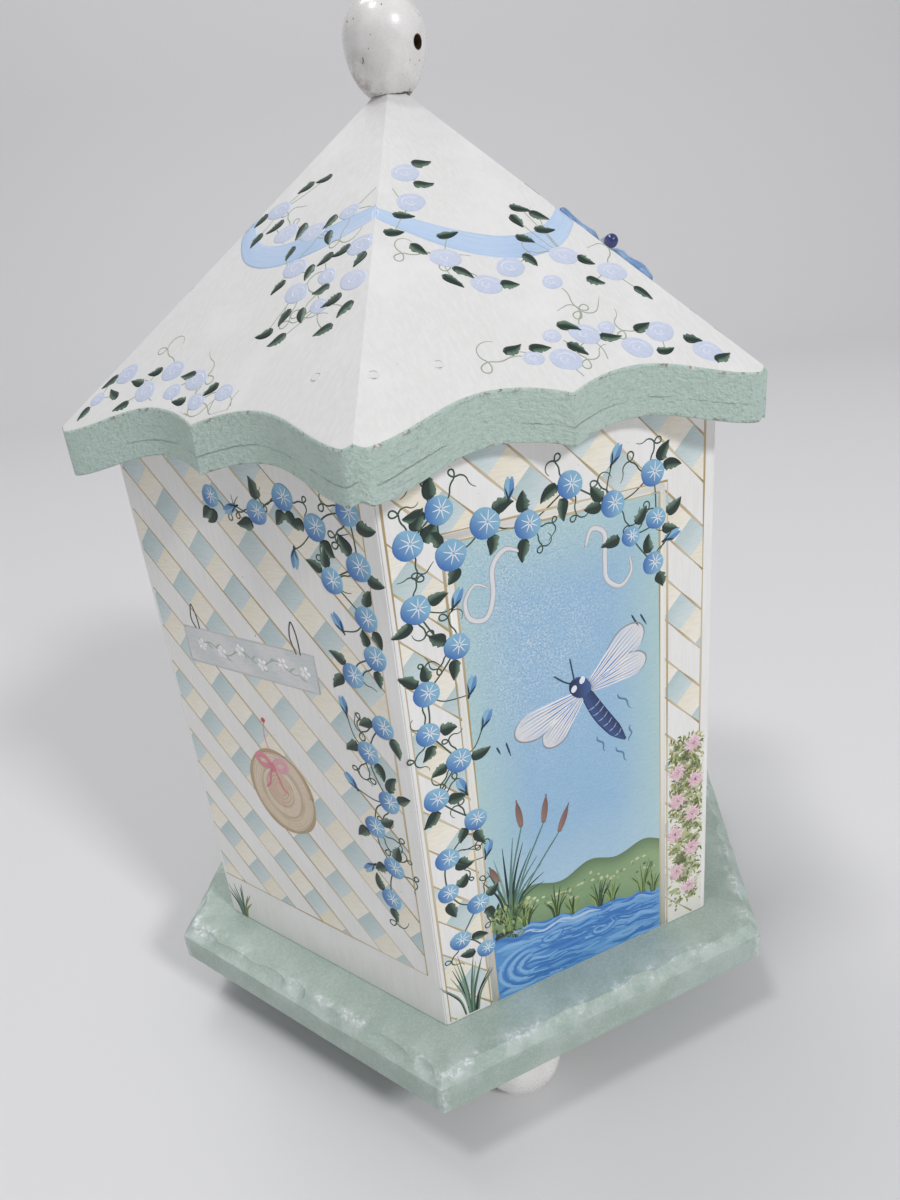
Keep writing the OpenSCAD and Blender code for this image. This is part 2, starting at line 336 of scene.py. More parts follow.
def eave_cracks(n, flow, depth):
    """Three broken cracks along the plies, each as (depth, drift, how much is closed, how dark)."""
    along = n.scaled(flow, (0, 1, 0))
    cracks = 0.0
    for middle, drift, cover, tear in ((8.2, 5.0, 0.46, 0.55), (4.6, 3.0, 0.55, 0.3), (10.8, 2.0, 0.57, 0.3)):
        wander = n.times(n.minus(n.noise(along, 0.028, 2, 0.5), 0.5), drift)
        jitter = n.times(n.minus(n.noise(along, 0.25, 4, 0.7), 0.5), 1.4)
        place = n.plus(n.plus(wander, jitter), middle)
        off = n.math("ABSOLUTE", n.minus(depth, place))
        broken = n.remap(n.noise(n.scaled(flow, (0, 1, 0.3)), 0.03, 4, 0.6), cover, cover + 0.1, 0, tear)
        cracks = n.math("MAXIMUM", cracks, n.times(n.remap(off, 0.22, 0.04), broken))
    return cracks


def eave_paint():
    """Thick sage on sawn plywood edges: scratchy bristle marks, broken cracks and knocked arrises."""
    n = Nodes("sage_paint")
    flow = n.attribute("flow")
    depth = n.parts(flow)[2]
    bottom = ROOF_RISE / MM
    bristle = n.noise(n.scaled(flow, (0, 0.35, 1.5)), 1.0, 5, 0.7, 0.4)
    rough = n.noise(n.scaled(flow, (0, 0.75, 0.8)), 1.0, 4, 0.62)
    cloud = n.noise(n.scaled(flow, (0, 0.06, 0.12)), 1.0, 3)
    cracks = eave_cracks(n, flow, depth)
    arris = n.math("MAXIMUM", n.remap(depth, 1.3, 0.2), n.remap(depth, bottom - 1.4, bottom - 0.2))
    knock = n.times(arris, n.remap(n.noise(n.scaled(flow, (0, 0.3, 0.6)), 1.0, 3, 0.6), 0.585, 0.61))
    colour = n.mix(n.remap(bristle, 0.35, 0.65), "#b8cdc3", "#c6d9d0")
    colour = n.mix(n.remap(cloud, 0.5, 0.72, 0, 0.5), colour, "#cad9d1")
    colour = n.mix(n.remap(rough, 0.55, 0.7, 0, 0.5), colour, "#9fb5a9")
    colour = n.mix(n.times(cracks, 0.6), colour, "#74837a")
    chip = n.mix(n.remap(rough, 0.45, 0.55), "#e6e1d8", "#8b7663")
    colour = n.mix(n.times(knock, 0.8), colour, chip)
    height = n.plus(n.times(bristle, 0.6), n.times(rough, 2.2))
    height = n.minus(n.minus(height, n.times(cracks, 1.2)), n.times(knock, 0.8))
    return n.finished(colour, n.remap(rough, 0.3, 0.7, 0.6, 0.45), height, 1.0, 0.5)


SAGE = eave_paint()


def carried_paint(name, tone, deep):
    """Brushed paint for a carried-over node, which has no flow attribute."""
    n = Nodes(name)
    where = n.coordinates()
    streak = n.noise(n.scaled(where, (1, 0.15, 1)), 500, 4, 0.6)
    colour = n.mix(n.remap(streak, 0.35, 0.65), tone, deep)
    return n.finished(colour, n.remap(streak, 0.3, 0.7, 0.5, 0.42), streak, 0.4, 0.15)


# ---------------------------------------------------------------- mesh helpers
def new_piece(name, mesh, *materials, slot, replaces=()):
    """A piece of the painted body with its materials."""
    piece = in_scene(name, mesh)
    for material in materials:
        mesh.materials.append(material)
    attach(piece, "root")
    if replaces:
        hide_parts(*replaces)
    return piece


def store(mesh, name, kind, field, values):
    """Keeps a value for each vertex under a name that the materials read."""
    layer = mesh.attributes.new(name, kind, "POINT")
    layer.data.foreach_set(field, np.asarray(values, np.float32).ravel())


def board_flow(mesh, panel, flow):
    """Stores each vertex's flow for the streaks, from its place on the panel in millimetres."""
    values = []
    for v in mesh.vertices:
        d = (v.co - panel.origin) / MM
        values.append(flow(d.dot(panel.up), d.dot(panel.across), d.dot(panel.out)))
    store(mesh, "flow", "FLOAT_VECTOR", "vector", values)


def turned(facing):
    """Rotation that carries a part modelled towards +X to its side."""
    return Matrix.Rotation(math.radians(facing), 4, "Z")


def soften(piece, width, method):
    """Rounds the piece's arrises by width mm, where the angle or the edge's weight asks for it."""
    bevel = piece.modifiers.new("bevel", "BEVEL")
    bevel.width = width * MM
    bevel.segments = 3
    bevel.limit_method = method
    bevel.angle_limit = math.radians(25)
    bevel.harden_normals = True


def combine(piece, operation, other):
    """Cuts the piece by another object, or down to it."""
    cut = piece.modifiers.new("cut", "BOOLEAN")
    cut.operation = operation
    cut.solver = "EXACT"
    cut.object = other


def applied(piece):
    """Replaces the piece's mesh by its modified mesh."""
    bpy.context.view_layer.update()
    graph = bpy.context.evaluated_depsgraph_get()
    mesh = bpy.data.meshes.new_from_object(piece.evaluated_get(graph))
    piece.modifiers.clear()
    piece.data = mesh
    return mesh


class Panel:
    """A flat painted face: origin in the middle of its lower edge, s to the right, t up, lift outwards."""

    def __init__(self, facing, origin, up):
        turn = turned(facing).to_3x3()
        self.origin = turn @ Vector(origin)
        self.across = turn @ Vector((0, 1, 0))
        self.up = (turn @ Vector(up)).normalized()
        self.out = self.across.cross(self.up)

    def at(self, s, t, lift=0.0):
        return self.origin + (self.across * s + self.up * t + self.out * lift) * MM


WALLS = {side: Panel(a, (WALL_OUT, 0, BASE_TOP), (0, 0, 1)) for side, a in SIDES.items()}
ROOFS = {
    side: Panel(a, (EAVE, 0, ROOF_APEX - EAVE * math.tan(SLOPE)), (-math.cos(SLOPE), 0, math.sin(SLOPE)))
    for side, a in SIDES.items()
}


# ---------------------------------------------------------------- boards
def prism(low, high, side_rows=1):
    """A closed mesh between two matching outlines, lists of points going the same way round."""
    bm = bmesh.new()
    count = len(low)
    rows = []
    for i in range(side_rows + 1):
        f = i / side_rows
        rows.append([bm.verts.new(a.lerp(b, f)) for a, b in zip(low, high)])
    for lower, upper in zip(rows, rows[1:]):
        for i in range(count):
            j = (i + 1) % count
            bm.faces.new((lower[i], lower[j], upper[j], upper[i]))
    bm.faces.new(list(reversed(rows[0])))
    bm.faces.new(rows[-1])
    bmesh.ops.recalc_face_normals(bm, faces=bm.faces)
    return bm


def mesh_of(bm, name):
    mesh = bpy.data.meshes.new(name)
    bm.to_mesh(mesh)
    bm.free()
    return mesh


def wall_board(side):
    """A mitred board with softened corners; the right one has the entry hole."""
    top_in = WALL_TOP + (WALL_OUT - WALL_IN) * math.tan(SLOPE)
    low = [Vector((x, y * x * TAN30, BASE_TOP)) for x, y in
           ((WALL_IN, -1), (WALL_OUT, -1), (WALL_OUT, 1), (WALL_IN, 1))]
    high = [Vector((v.x, v.y, WALL_TOP if v.x == WALL_OUT else top_in)) for v in low]
    name = "wall_board_" + side
    mesh = smoothed(mesh_of(prism(low, high), name))
    mesh.transform(turned(SIDES[side]))
    piece = new_piece(name, mesh, WHITE, slot="white_paint", replaces=["wall_" + side])
    cutter = entry_cutter() if side == "right" else None
    if cutter:
        combine(piece, "DIFFERENCE", cutter)
    soften(piece, 0.5, "ANGLE")
    mesh = applied(piece)
    if cutter:
        bpy.data.objects.remove(cutter)
    board_flow(mesh, WALLS[side], lambda up, across, out: (up, across + out, SIDES[side] / 9))


def entry_cutter():
    """A cylinder through the right wall where the CAD's entry hole is."""
    hole = mount("entry_hole")
    r = hole["dims"]["r_mm"] * MM
    bm = bmesh.new()
    bmesh.ops.create_cone(bm, cap_ends=True, segments=96, radius1=r, radius2=r, depth=40 * MM)
    mesh = mesh_of(bm, "entry_cutter")
    mesh.transform(Matrix.Translation(Vector(hole["pos_m"])) @ Matrix.Rotation(math.pi / 2, 4, "Y"))
    return in_scene("entry_cutter", mesh)


ARCH_H, CUSP_H, ARCH_AT = 9.5, 4.5, 20.0


def eave_depth(s):
    """How far the scalloped eave lies above its straight chord, in millimetres up the slope."""
    half = EAVE_HALF / MM
    if abs(s) < ARCH_AT:
        return ARCH_H - (ARCH_H - CUSP_H) * ((ARCH_AT - abs(s)) / ARCH_AT) ** 2
    return ARCH_H * (1 + math.cos(math.pi * (abs(s) - ARCH_AT) / (half - ARCH_AT))) / 2


def eave_outline(columns=132):
    """The board's outer edge from above, in metres towards +X."""
    points = []
    half = EAVE_HALF / MM
    for i in range(columns + 1):
        s = half * (2 * i / columns - 1)
        p = Vector((EAVE - eave_depth(s) * MM * math.cos(SLOPE), s * MM))
        if p.length > ROOF_CORNER_R:
            p = p.normalized() * ROOF_CORNER_R
        points.append(p)
    return points


def roof_board(side):
    """A roof board with mitred ridges, a scalloped vertical edge and softened arrises."""
    flat = (ROOF_APEX - TIP_TOP) / math.tan(SLOPE)
    ring = [Vector((flat, flat * TAN30)), Vector((flat, -flat * TAN30))] + eave_outline()
    high = [Vector((p.x, p.y, ROOF_APEX - p.x * math.tan(SLOPE))) for p in ring]
    low = [v - Vector((0, 0, ROOF_RISE)) for v in high]
    bm = prism(low, high, side_rows=6)
    weigh_arrises(bm)
    name = "roof_board_" + side
    mesh = smoothed(mesh_of(bm, name))
    piece = new_piece(name, mesh, SHADED_ROOF_WHITE, SAGE, slot="white_paint", replaces=["roof_" + side])
    soften(piece, 0.7, "WEIGHT")
    mesh = applied(piece)
    sage_edge(mesh)
    mesh.transform(turned(SIDES[side]))
    board_flow(mesh, ROOFS[side],
               lambda up, across, out: (up, across + 3 * SIDES[side], -out / math.cos(SLOPE)))


def weigh_arrises(bm):
    """Full rounding along the eave, a hair's breadth along the ridges, so that the seams stay closed."""
    layer = bm.edges.layers.float.new("bevel_weight_edge")
    for edge in bm.edges:
        if len(edge.link_faces) < 2 or edge.calc_face_angle(0) < math.radians(25):
            continue
        outer = all(v.co.x > EAVE - (ARCH_H + 1) * MM for v in edge.verts)
        a, b = edge.verts
        upright = (a.co - b.co).xy.length < 0.1 * MM
        edge[layer] = 1.0 if outer and not upright else 0.1


def sage_edge(mesh):
    """The eave's upright edge is sage, with its rounded upper arris left white."""
    half = EAVE_HALF / MM
    for polygon in mesh.polygons:
        c = polygon.center
        edge_x = EAVE - eave_depth(max(-half, min(half, c.y / MM))) * MM * math.cos(SLOPE)
        ends = math.hypot(c.x, c.y) > ROOF_CORNER_R - 1.2 * MM
        polygon.material_index = 1 if (c.x > edge_x - 0.9 * MM or ends) and polygon.normal.z < 0.62 else 0


# ---------------------------------------------------------------- paint strokes
def paint_material():
    """Hand paint: each stroke's own tint with brush streaks, sponged specks and a satin varnish."""
    n = Nodes("hand_paint")
    tint = n.attribute("tint", "Color")
    mottle = n.attribute("mottle", "Fac")
    flow = n.attribute("flow")
    streak = n.noise(n.scaled(flow, (0.3, 2.4, 1)), 1.0, 4, 0.6)
    sponge = n.noise(n.scaled(flow, (1.6, 1.6, 1)), 1.0, 4, 0.75)
    stipple = n.noise(n.scaled(flow, (2.1, 2.1, 7)), 1.0, 3, 0.7)
    drift = n.noise(n.scaled(flow, (0.09, 0.09, 1)), 1.0, 3)
    dark = n.mix(1.0, tint, (0.70, 0.74, 0.80, 1))
    dark.node.blend_type = "MULTIPLY"
    colour = n.mix(n.remap(streak, 0.62, 0.35, 0, 0.3), tint, dark)
    patch = n.times(mottle, n.remap(drift, 0.35, 0.6, 0.55, 1))
    colour = n.mix(n.times(n.remap(sponge, 0.46, 0.6), patch), colour, "#cfe0e6")
    colour = n.mix(n.times(n.remap(stipple, 0.53, 0.63, 0, 0.8), patch), colour, "#6d98c6")
    return n.finished(colour, n.remap(streak, 0.3, 0.7, 0.42, 0.34), streak, 0.35, 0.1)


PAINT = paint_material()


def constant(value):
    """The value as a function, unless it is one already."""
    return value if callable(value) else lambda *_: value


def centre(outline):
    return sum(q[0] for q in outline) / len(outline), sum(q[1] for q in outline) / len(outline)


class Paint:
    """Strokes on one panel: closed crowned shapes, in millimetres, whose edges sink a hair into the board."""

    SINK = -0.04
    RELIEF = 0.45
    SECTION = (-1.0, -0.66, 0.0, 0.66, 1.0)

    def __init__(self, panel, seed, limit=None):
        self.panel = panel
        self.limit = limit
        self.rng = random.Random(seed)
        self.points = []
        self.faces = []
        self.level_faces = []
        self.seed = 0.0

    def new_stroke(self):
        self.seed = self.rng.uniform(0, 500)

    def point(self, s, t, lift, tint, flow, mottle=0.0):
        """Adds a point with its looks and returns its number."""
        if self.limit:
            s, t = self.limit(s, t)
        self.points.append((self.panel.at(s, t, lift), rgba(tint), (*flow, self.seed), mottle))
        return len(self.points) - 1

    def band(self, low, high):
        """Faces between two rings of as many points."""
        for k in range(len(low)):
            m = (k + 1) % len(low)
            self.faces.append((low[k], low[m], high[m], high[k]))

    def bead(self, line, width, colour, rise=0.1, level=0.0, fringe=(0, 0.0)):
        """A stroke along line. width(u) is in mm and colour(u, v) a tint, u 0 to 1 along, v -1 to 1 across.

        rise is its crown, a number or a function of (u, v); fringe is its ragged side and by how much.
        """
        self.new_stroke()
        width, colour = constant(width), constant(colour)
        last = len(line) - 1
        rows = []
        for i, (s, t) in enumerate(line):
            a, b = line[max(i - 1, 0)], line[min(i + 1, last)]
            ds, dt = b[0] - a[0], b[1] - a[1]
            size = math.hypot(ds, dt) or 1.0
            u = i / last
            half = max(width(u) / 2, 0.03)
            row = []
            ragged = 1 + self.rng.uniform(-fringe[1], fringe[1]) if fringe[0] else 1.0
            for v in self.SECTION:
                crown = rise(u, v) if callable(rise) else rise * (1 - 0.5 * v * v)
                lift = self.SINK if abs(v) == 1 else self.RELIEF * (level + crown)
                wide = half * v * (ragged if v * fringe[0] > 0 else 1.0)
                place = (s - dt / size * wide, t + ds / size * wide)
                row.append(self.point(*place, lift, colour(u, v), (u * last * 0.6, half * v)))
            rows.append(row)
        for low, high in zip(rows, rows[1:]):
            self.band(low, high)
        self.faces.append(tuple(rows[0]))
        self.faces.append(tuple(reversed(rows[-1])))

    def blob(self, outline, colour, rise=0.14, level=0.0):
        """A filled shape with a soft crowned edge; colour(s, t) is its tint."""
        self.new_stroke()
        colour = constant(colour)
        cs, ct = centre(outline)
        rings = []
        top = self.RELIEF * (level + rise)
        brow = top - 0.3 * self.RELIEF * rise
        for scale, lift in ((1.0, self.SINK), (0.95, brow), (0.84, top), (0.4, top)):
            ring = []
            for s, t in outline:
                p = (cs + (s - cs) * scale, ct + (t - ct) * scale)
                ring.append(self.point(*p, lift, colour(*p), (s - cs, t - ct)))
            rings.append(ring)
        for low, high in zip(rings, rings[1:]):
            self.band(low, high)
        middle = self.point(cs, ct, top, colour(cs, ct), (0, 0))
        for a, b in zip(rings[-1], rings[-1][1:] + rings[-1][:1]):
            self.faces.append((a, b, middle))
        self.faces.append(tuple(reversed(rings[0])))

    def field(self, s_range, low, high, colour, step=2.0, lift=0.05, mottle=0.0):
        """An even coat between the curves low(s) and high(s)."""
        self.new_stroke()
        low, high, mottle = constant(low), constant(high), constant(mottle)
        wide = s_range[1] - s_range[0]
        columns = max(2, round(wide / step))
        middle = (s_range[0] + s_range[1]) / 2
        rows = max(2, round((high(middle) - low(middle)) / step))
        grid = []
        for i in range(columns + 1):
            s = s_range[0] + wide * i / columns
            line = []
            for j in range(rows + 1):
                t = low(s) + (high(s) - low(s)) * j / rows
                line.append(self.point(s, t, lift * self.RELIEF, colour(s, t), (s, t), mottle(s, t)))
            grid.append(line)
        for a, b in zip(grid, grid[1:]):
            for j in range(rows):
                self.level_faces.append(len(self.faces))
                self.faces.append((a[j], b[j], b[j + 1], a[j + 1]))
        rim = [grid[i][0] for i in range(columns)] + [grid[columns][j] for j in range(rows)]
        rim += [grid[i][rows] for i in range(columns, 0, -1)] + [grid[0][j] for j in range(rows, 0, -1)]
        self.skirt(rim)

    def skirt(self, rim):
        """Closes a flat coat below the surface."""
        drop = self.panel.out * (self.SINK - 0.05) * MM * 1.5
        under = []
        for i in rim:
            place, *looks = self.points[i]
            self.points.append((place + drop, *looks))
            under.append(len(self.points) - 1)
        self.band(under, rim)
        self.faces.append(tuple(reversed(under)))

    def cell(self, corners, colour, lift=0.03):
        """A flat patch with straight sides; colour(s, t) is its tint."""
        self.new_stroke()
        colour = constant(colour)
        rim = [self.point(s, t, lift * self.RELIEF, colour(s, t), (s, t)) for s, t in corners]
        self.level_faces.append(len(self.faces))
        self.faces.append(tuple(rim))
        self.skirt(rim)

    def piece(self, name, replaces=()):
        """Turns the strokes into a piece that rides on the body."""
        places, tints, flows, mottles = zip(*self.points)
        mesh = bpy.data.meshes.new(name)
        mesh.from_pydata(places, [], self.faces)
        bm = bmesh.new()
        bm.from_mesh(mesh)
        bmesh.ops.recalc_face_normals(bm, faces=bm.faces)
        bm.to_mesh(mesh)
        bm.free()
        smoothed(mesh)
        for i in self.level_faces:
            mesh.polygons[i].use_smooth = False
        store(mesh, "flow", "FLOAT_VECTOR", "vector", flows)
        store(mesh, "tint", "FLOAT_COLOR", "color", [c[:3] + (1.0,) for c in tints])
        store(mesh, "mottle", "FLOAT", "value", mottles)
        new_piece(name, mesh, PAINT, slot="sky_paint", replaces=replaces)


# ---------------------------------------------------------------- curves and simple strokes
def polar(s, t, r, a):
    """The point at distance r from (s, t) in direction a."""
    return s + r * math.cos(a), t + r * math.sin(a)


def ray(s, t, a, lengths):
    """Points in a straight line from (s, t) in direction a."""
    return [polar(s, t, r, a) for r in lengths]


def swung(s, t, x, y, a):
    """The point (x, y) from (s, t), in axes turned by a."""
    return s + x * math.cos(a) - y * math.sin(a), t + x * math.sin(a) + y * math.cos(a)


def between(a, b, f=0.5, ds=0.0, dt=0.0):
    """The point f of the way from a to b, moved by (ds, dt)."""
    return a[0] + (b[0] - a[0]) * f + ds, a[1] + (b[1] - a[1]) * f + dt


def steps(count):
    """Even steps from 0 to 1."""
    return [i / count for i in range(count + 1)]


def spline_value(u, a, b, c, d):
    """Catmull-Rom: runs from b at u = 0 to c at u = 1, with a and d on either side of them."""
    square, cube = 2 * a - 5 * b + 4 * c - d, 3 * b - a - 3 * c + d
    return 0.5 * (2 * b + (c - a) * u + square * u * u + cube * u ** 3)


def spline(points, step=0.8):
    """A smooth line through the points, in steps of about step mm."""
    line = []
    last = len(points) - 1
    for i in range(last):
        p0, p1, p2, p3 = points[max(i - 1, 0)], points[i], points[i + 1], points[min(i + 2, last)]
        count = max(1, round(math.dist(p1, p2) / step))
        for k in range(count):
            line.append(tuple(spline_value(k / count, *values) for values in zip(p0, p1, p2, p3)))
    line.append(tuple(points[-1]))
    return line


def taper(width, start=0.25, end=0.1):
    """Full width in the middle, start and end times as much at the two tips."""
    return lambda u: width * min(1.0, start + 4 * u, end + 2.2 * (1 - u))


def edged(tone, edge, start, gain):
    """A tint that goes over to another one towards both edges of a stroke."""
    return lambda u, v: blend(tone, edge, start + gain * abs(v))


def ellipse(s, t, rs, rt, turn=0.0, count=20, wobble=0.0, rng=None):
    """Outline of an ellipse, uneven by wobble."""
    points = []
    phase = rng.uniform(0, 6) if rng else 0
    for k in range(count):
        a = 2 * math.pi * k / count
        f = 1 + wobble * (math.sin(3 * a + phase) + 0.7 * math.sin(5 * a + 2 * phase))
        points.append(swung(s, t, rs * f * math.cos(a), rt * f * math.sin(a), turn))
    return points


def closed(ring):
    """A ring as a line that ends where it began."""
    return ring + ring[:2]


def half_plane(corners, normal, bound):
    """The part of a convex outline whose distance along normal is at least bound."""
    kept = []
    for a, b in zip(corners, corners[1:] + corners[:1]):
        da = a[0] * normal[0] + a[1] * normal[1] - bound
        db = b[0] * normal[0] + b[1] * normal[1] - bound
        if da >= 0:
            kept.append(a)
        if (da >= 0) != (db >= 0) and da != db:
            kept.append(between(a, b, da / (da - db)))
    return kept


def clipped(corners, low, high):
    """A convex outline cut to the rectangle from low to high."""
    for normal, bound in (((1, 0), low[0]), ((-1, 0), -high[0]), ((0, 1), low[1]), ((0, -1), -high[1])):
        corners = half_plane(corners, normal, bound)
    return corners


def outside_circle(corners, circle):
    """A small outline cut back to the circle's tangent that faces it."""
    cs, ct = centre(corners)
    away = math.dist((cs, ct), circle[:2])
    normal = ((cs - circle[0]) / away, (ct - circle[1]) / away)
    return half_plane(corners, normal, circle[0] * normal[0] + circle[1] * normal[1] + circle[2])


# ---------------------------------------------------------------- lattice
SLAT_PITCH, SLAT_HALF, SQUARE = 26.0, 4.6, 8.3
SLAT_REACH = 260.0
DIAGONAL = math.sqrt(0.5)


def on_slat(along, across):
    """A point given along and across the slats, which run down to the right."""
    return (along + across) * DIAGONAL, (across - along) * DIAGONAL


def slat_squares(p, middle, low, high, clear, circle):
    """One slat's aqua and cream squares, each a little washed out towards one end."""
    shift = p.rng.uniform(-2.5, 2.5)
    lower, upper = middle - SLAT_HALF, middle + SLAT_HALF
    for c in range(round(-SLAT_REACH / SQUARE), round(SLAT_REACH / SQUARE)):
        a = c * SQUARE + shift
        square = ((a, lower), (a + SQUARE, lower), (a + SQUARE, upper), (a, upper))
        box = clipped([on_slat(*q) for q in square], low, high)
        if circle and len(box) > 2:
            box = outside_circle(box, circle)
        if len(box) < 3 or (clear and all(clear(*q) for q in box)):
            continue
        tone = p.rng.uniform(0, 0.12)
        base = AQUA if c % 2 else CREAM

        def wash(s, t, a=a, tone=tone, base=base):
            return blend(base, "#ffffff", tone + 0.34 * ((s - t) * DIAGONAL - a) / SQUARE)

        p.cell(box, wash)


def slat_edge(p, edge, low, high, clear):
    """A gold line along a slat's edge, broken where the lattice is cleared."""
    sliver = ((-SLAT_REACH, edge - 0.1), (SLAT_REACH, edge - 0.1), (SLAT_REACH, edge + 0.1))
    ends = clipped([on_slat(*q) for q in sliver], low, high)
    if len(ends) < 3:
        return
    a = min(ends, key=lambda q: q[0])
    b = max(ends, key=lambda q: q[0])
    if math.dist(a, b) < 2:
        return
    for start, end in outside_runs(a, b, clear):
        rule_line(p, start, end, 0.9, 0.03)


def lattice(p, low, high, clear=None, circle=None):
    """Diagonal slats of alternating aqua and cream squares with gold edges, inside a rectangle."""
    first = math.floor((low[0] + low[1]) / SLAT_PITCH)
    last = math.ceil((high[0] + high[1]) / SLAT_PITCH)
    for k in range(first, last + 1):
        middle = k * SLAT_PITCH * DIAGONAL
        slat_squares(p, middle, low, high, clear, circle)
        for edge in (middle - SLAT_HALF, middle + SLAT_HALF):
            slat_edge(p, edge, low, high, clear)


def outside_runs(a, b, clear):
    """The parts of the line from a to b that lie outside the cleared area."""
    if not clear:
        return [(a, b)]
    runs = []
    start = None
    for q in [between(a, b, f) for f in steps(120)] + [None]:
        if q is not None and not clear(*q):
            start = start or q
            end = q
        elif start:
            if math.dist(start, end) > 1.5:
                runs.append((start, end))
            start = None
    return runs


def rule_line(p, a, b, width=0.8, level=0.06):
    """A straight gold line drawn by hand: its width and its tone swell and fade."""
    phase = p.rng.uniform(0, 6)
    line = [between(a, b, f) for f in steps(max(3, round(math.dist(a, b) / 2.5)))]
    p.bead(line, lambda u: width * (0.85 + 0.35 * math.sin(9 * u + phase)),
           lambda u, v: blend(GOLD, CREAM, 0.25 + 0.25 * math.sin(7 * u + phase)), 0.03, level)


# ---------------------------------------------------------------- painted motifs
def leaf(p, s, t, heading, length, width, level=0.12):
    """A dark leaf, lighter on one side, drawn from its stalk to its point."""
    bend = p.rng.uniform(-0.5, 0.5)
    pale = p.rng.choice((-1, 1))
    line = [polar(s, t, length * u, heading + bend * u) for u in steps(12)]
    light = blend(LEAF_DARK, LEAF_LIGHT, p.rng.uniform(0.6, 1.0))
    p.bead(line, lambda u: 3.0 * width * math.sqrt(u) * (1 - u) + 0.25,
           lambda u, v: light if v * pale > 0.1 and u > 0.1 else LEAF_DARK, 0.12, level, (pale, 0.22))


def tendril(p, s, t, heading, size=1.0, tint=TENDRIL, width=0.55):
    """A curly line: a soft bend, one small loop and a hook."""
    hand = p.rng.choice((-1, 1))
    runs = ((3.0, 0.8), (2.5, -0.7), (2.6, 1.1), (2.6 + p.rng.uniform(0, 1.0), 3.4), (2.4, 1.3), (3.5, -1.6),
            (3.0, p.rng.uniform(-1.8, 1.6)))
    line = [(s, t)]
    for length, turn in runs:
        count = max(2, round(length * size / 0.5))
        for _ in range(count):
            heading += hand * turn / count
            line.append(polar(*line[-1], length * size / count, heading))
    p.bead(line, taper(width, 0.7, 0.35), tint, 0.06, 0.07)


def glory(p, s, t, r=3.9):
    """A morning glory seen from the front, deep blue on one side, with a white eight-ray star."""
    turn = p.rng.uniform(-0.5, 0.5)
    dark = 3.7 + p.rng.uniform(-0.6, 0.6)

    def colour(x, y):
        d = ((x - s) * math.cos(dark) + (y - t) * math.sin(dark)) / r
        return blend(PALE_BLUE, DEEP_BLUE, 0.3 + 0.85 * d)

    p.blob(ellipse(s, t, r, r * p.rng.uniform(0.92, 1.0), turn, 22, 0.018, p.rng), colour, 0.14, 0.16)
    for k in range(8):
        length = r * p.rng.uniform(0.52, 0.66)
        lengths = [0.08 * r + length * u for u in (0, 0.35, 0.7, 1)]
        line = ray(s + 0.16 * r, t + 0.08 * r, turn + k * math.pi / 4, lengths)
        p.bead(line, lambda u: 0.52 - 0.3 * u, STAR, 0.06, 0.3)


def bud(p, s, t, heading, length=5.6):
    """A closed flower: two blue strokes held by a green calyx."""
    for off, tint in ((0.5, PALE_BLUE), (-0.4, DEEP_BLUE)):
        line = ray(s, t, heading + off * 0.25, [length * u for u in steps(5)])
        p.bead(line, lambda u: 2.7 * math.sin(math.pi * min(1, 0.12 + 0.85 * u)) ** 0.8,
               lambda u, v, tint=tint: blend(tint, PALE_BLUE, 0.5 * u), 0.13, 0.14)
    for off in (0.42, -0.42):
        line = [polar(s, t, -1.2, heading)] + ray(s, t, heading + off, (0, 1.8, 3.1))
        p.bead(spline(line), taper(0.85, 0.5, 0.1), LEAF_DARK, 0.08, 0.2)


def free(place, others, gap):
    """True where nothing stands closer than gap to the place."""
    return all(math.dist(place, q[:2]) > gap for q in others)


def nearest(flowers, place):
    return min(flowers, key=lambda f: math.dist(f[:2], place))


def link(p, a, b, stray, width, tint):
    """A thin stem from a to b whose middle wanders by up to stray mm each way."""
    mid = between(a, b, 0.5, p.rng.uniform(-stray, stray), p.rng.uniform(-stray, stray))
    p.bead(spline([a[:2], mid, b[:2]]), width, tint, 0.05, 0.05)


def grow_leaves(p, f, flowers, tips, inside, leaves=2, reach=4.6, size=6.0):
    """Leaves from behind a flower, as many as find room between the flowers and the other leaves' tips."""
    grown = 0
    for _ in range(14):
        if grown >= leaves:
            break
        a = p.rng.uniform(0, 2 * math.pi)
        tip = polar(*f[:2], reach + size * 0.8, a)
        middle = polar(*f[:2], reach, a)
        if inside(*tip) and free(tip, flowers, reach) and free(tip, tips, 3.2) and free(middle, flowers, 3.4):
            lean = a + p.rng.uniform(-0.5, 0.5)
            leaf(p, *polar(*f[:2], reach - 1, a), lean, size * p.rng.uniform(0.8, 1.1),
                 size * p.rng.uniform(0.5, 0.62))
            tips.append(tip)
            grown += 1


def grow_curls(p, f, flowers, inside):
    """Up to two tendrils from behind a flower."""
    for _ in range(2):
        if p.rng.random() > 0.75:
            continue
        for _ in range(10):
            a = p.rng.uniform(0, 2 * math.pi)
            tip = polar(*f[:2], 12, a)
            if inside(*tip) and free(tip, flowers, 3.0):
                tendril(p, *polar(*f[:2], 3, a), a, p.rng.uniform(0.75, 1.05))
                break


def vine(p, flowers, buds, inside):
    """A morning glory vine: stems, tendrils and leaves under the flowers, and buds on stems of their own."""
    for a, b in zip(flowers, flowers[1:]):
        if math.dist(a[:2], b[:2]) <= 17:
            link(p, a, b, 2, 0.6, TENDRIL)
    tips = []
    for f in flowers:
        grow_leaves(p, f, flowers, tips, inside)
        grow_curls(p, f, flowers, inside)
    for s, t, heading in buds:
        near = nearest(flowers, (s, t))
        mid = between((s, t), near, 0.5, p.rng.uniform(-2, 2), -1.5)
        p.bead(spline([(s, t), mid, near[:2]]), 0.5, TENDRIL, 0.05, 0.06)
        bud(p, s, t, math.radians(heading))
    for f in flowers:
        glory(p, *f)


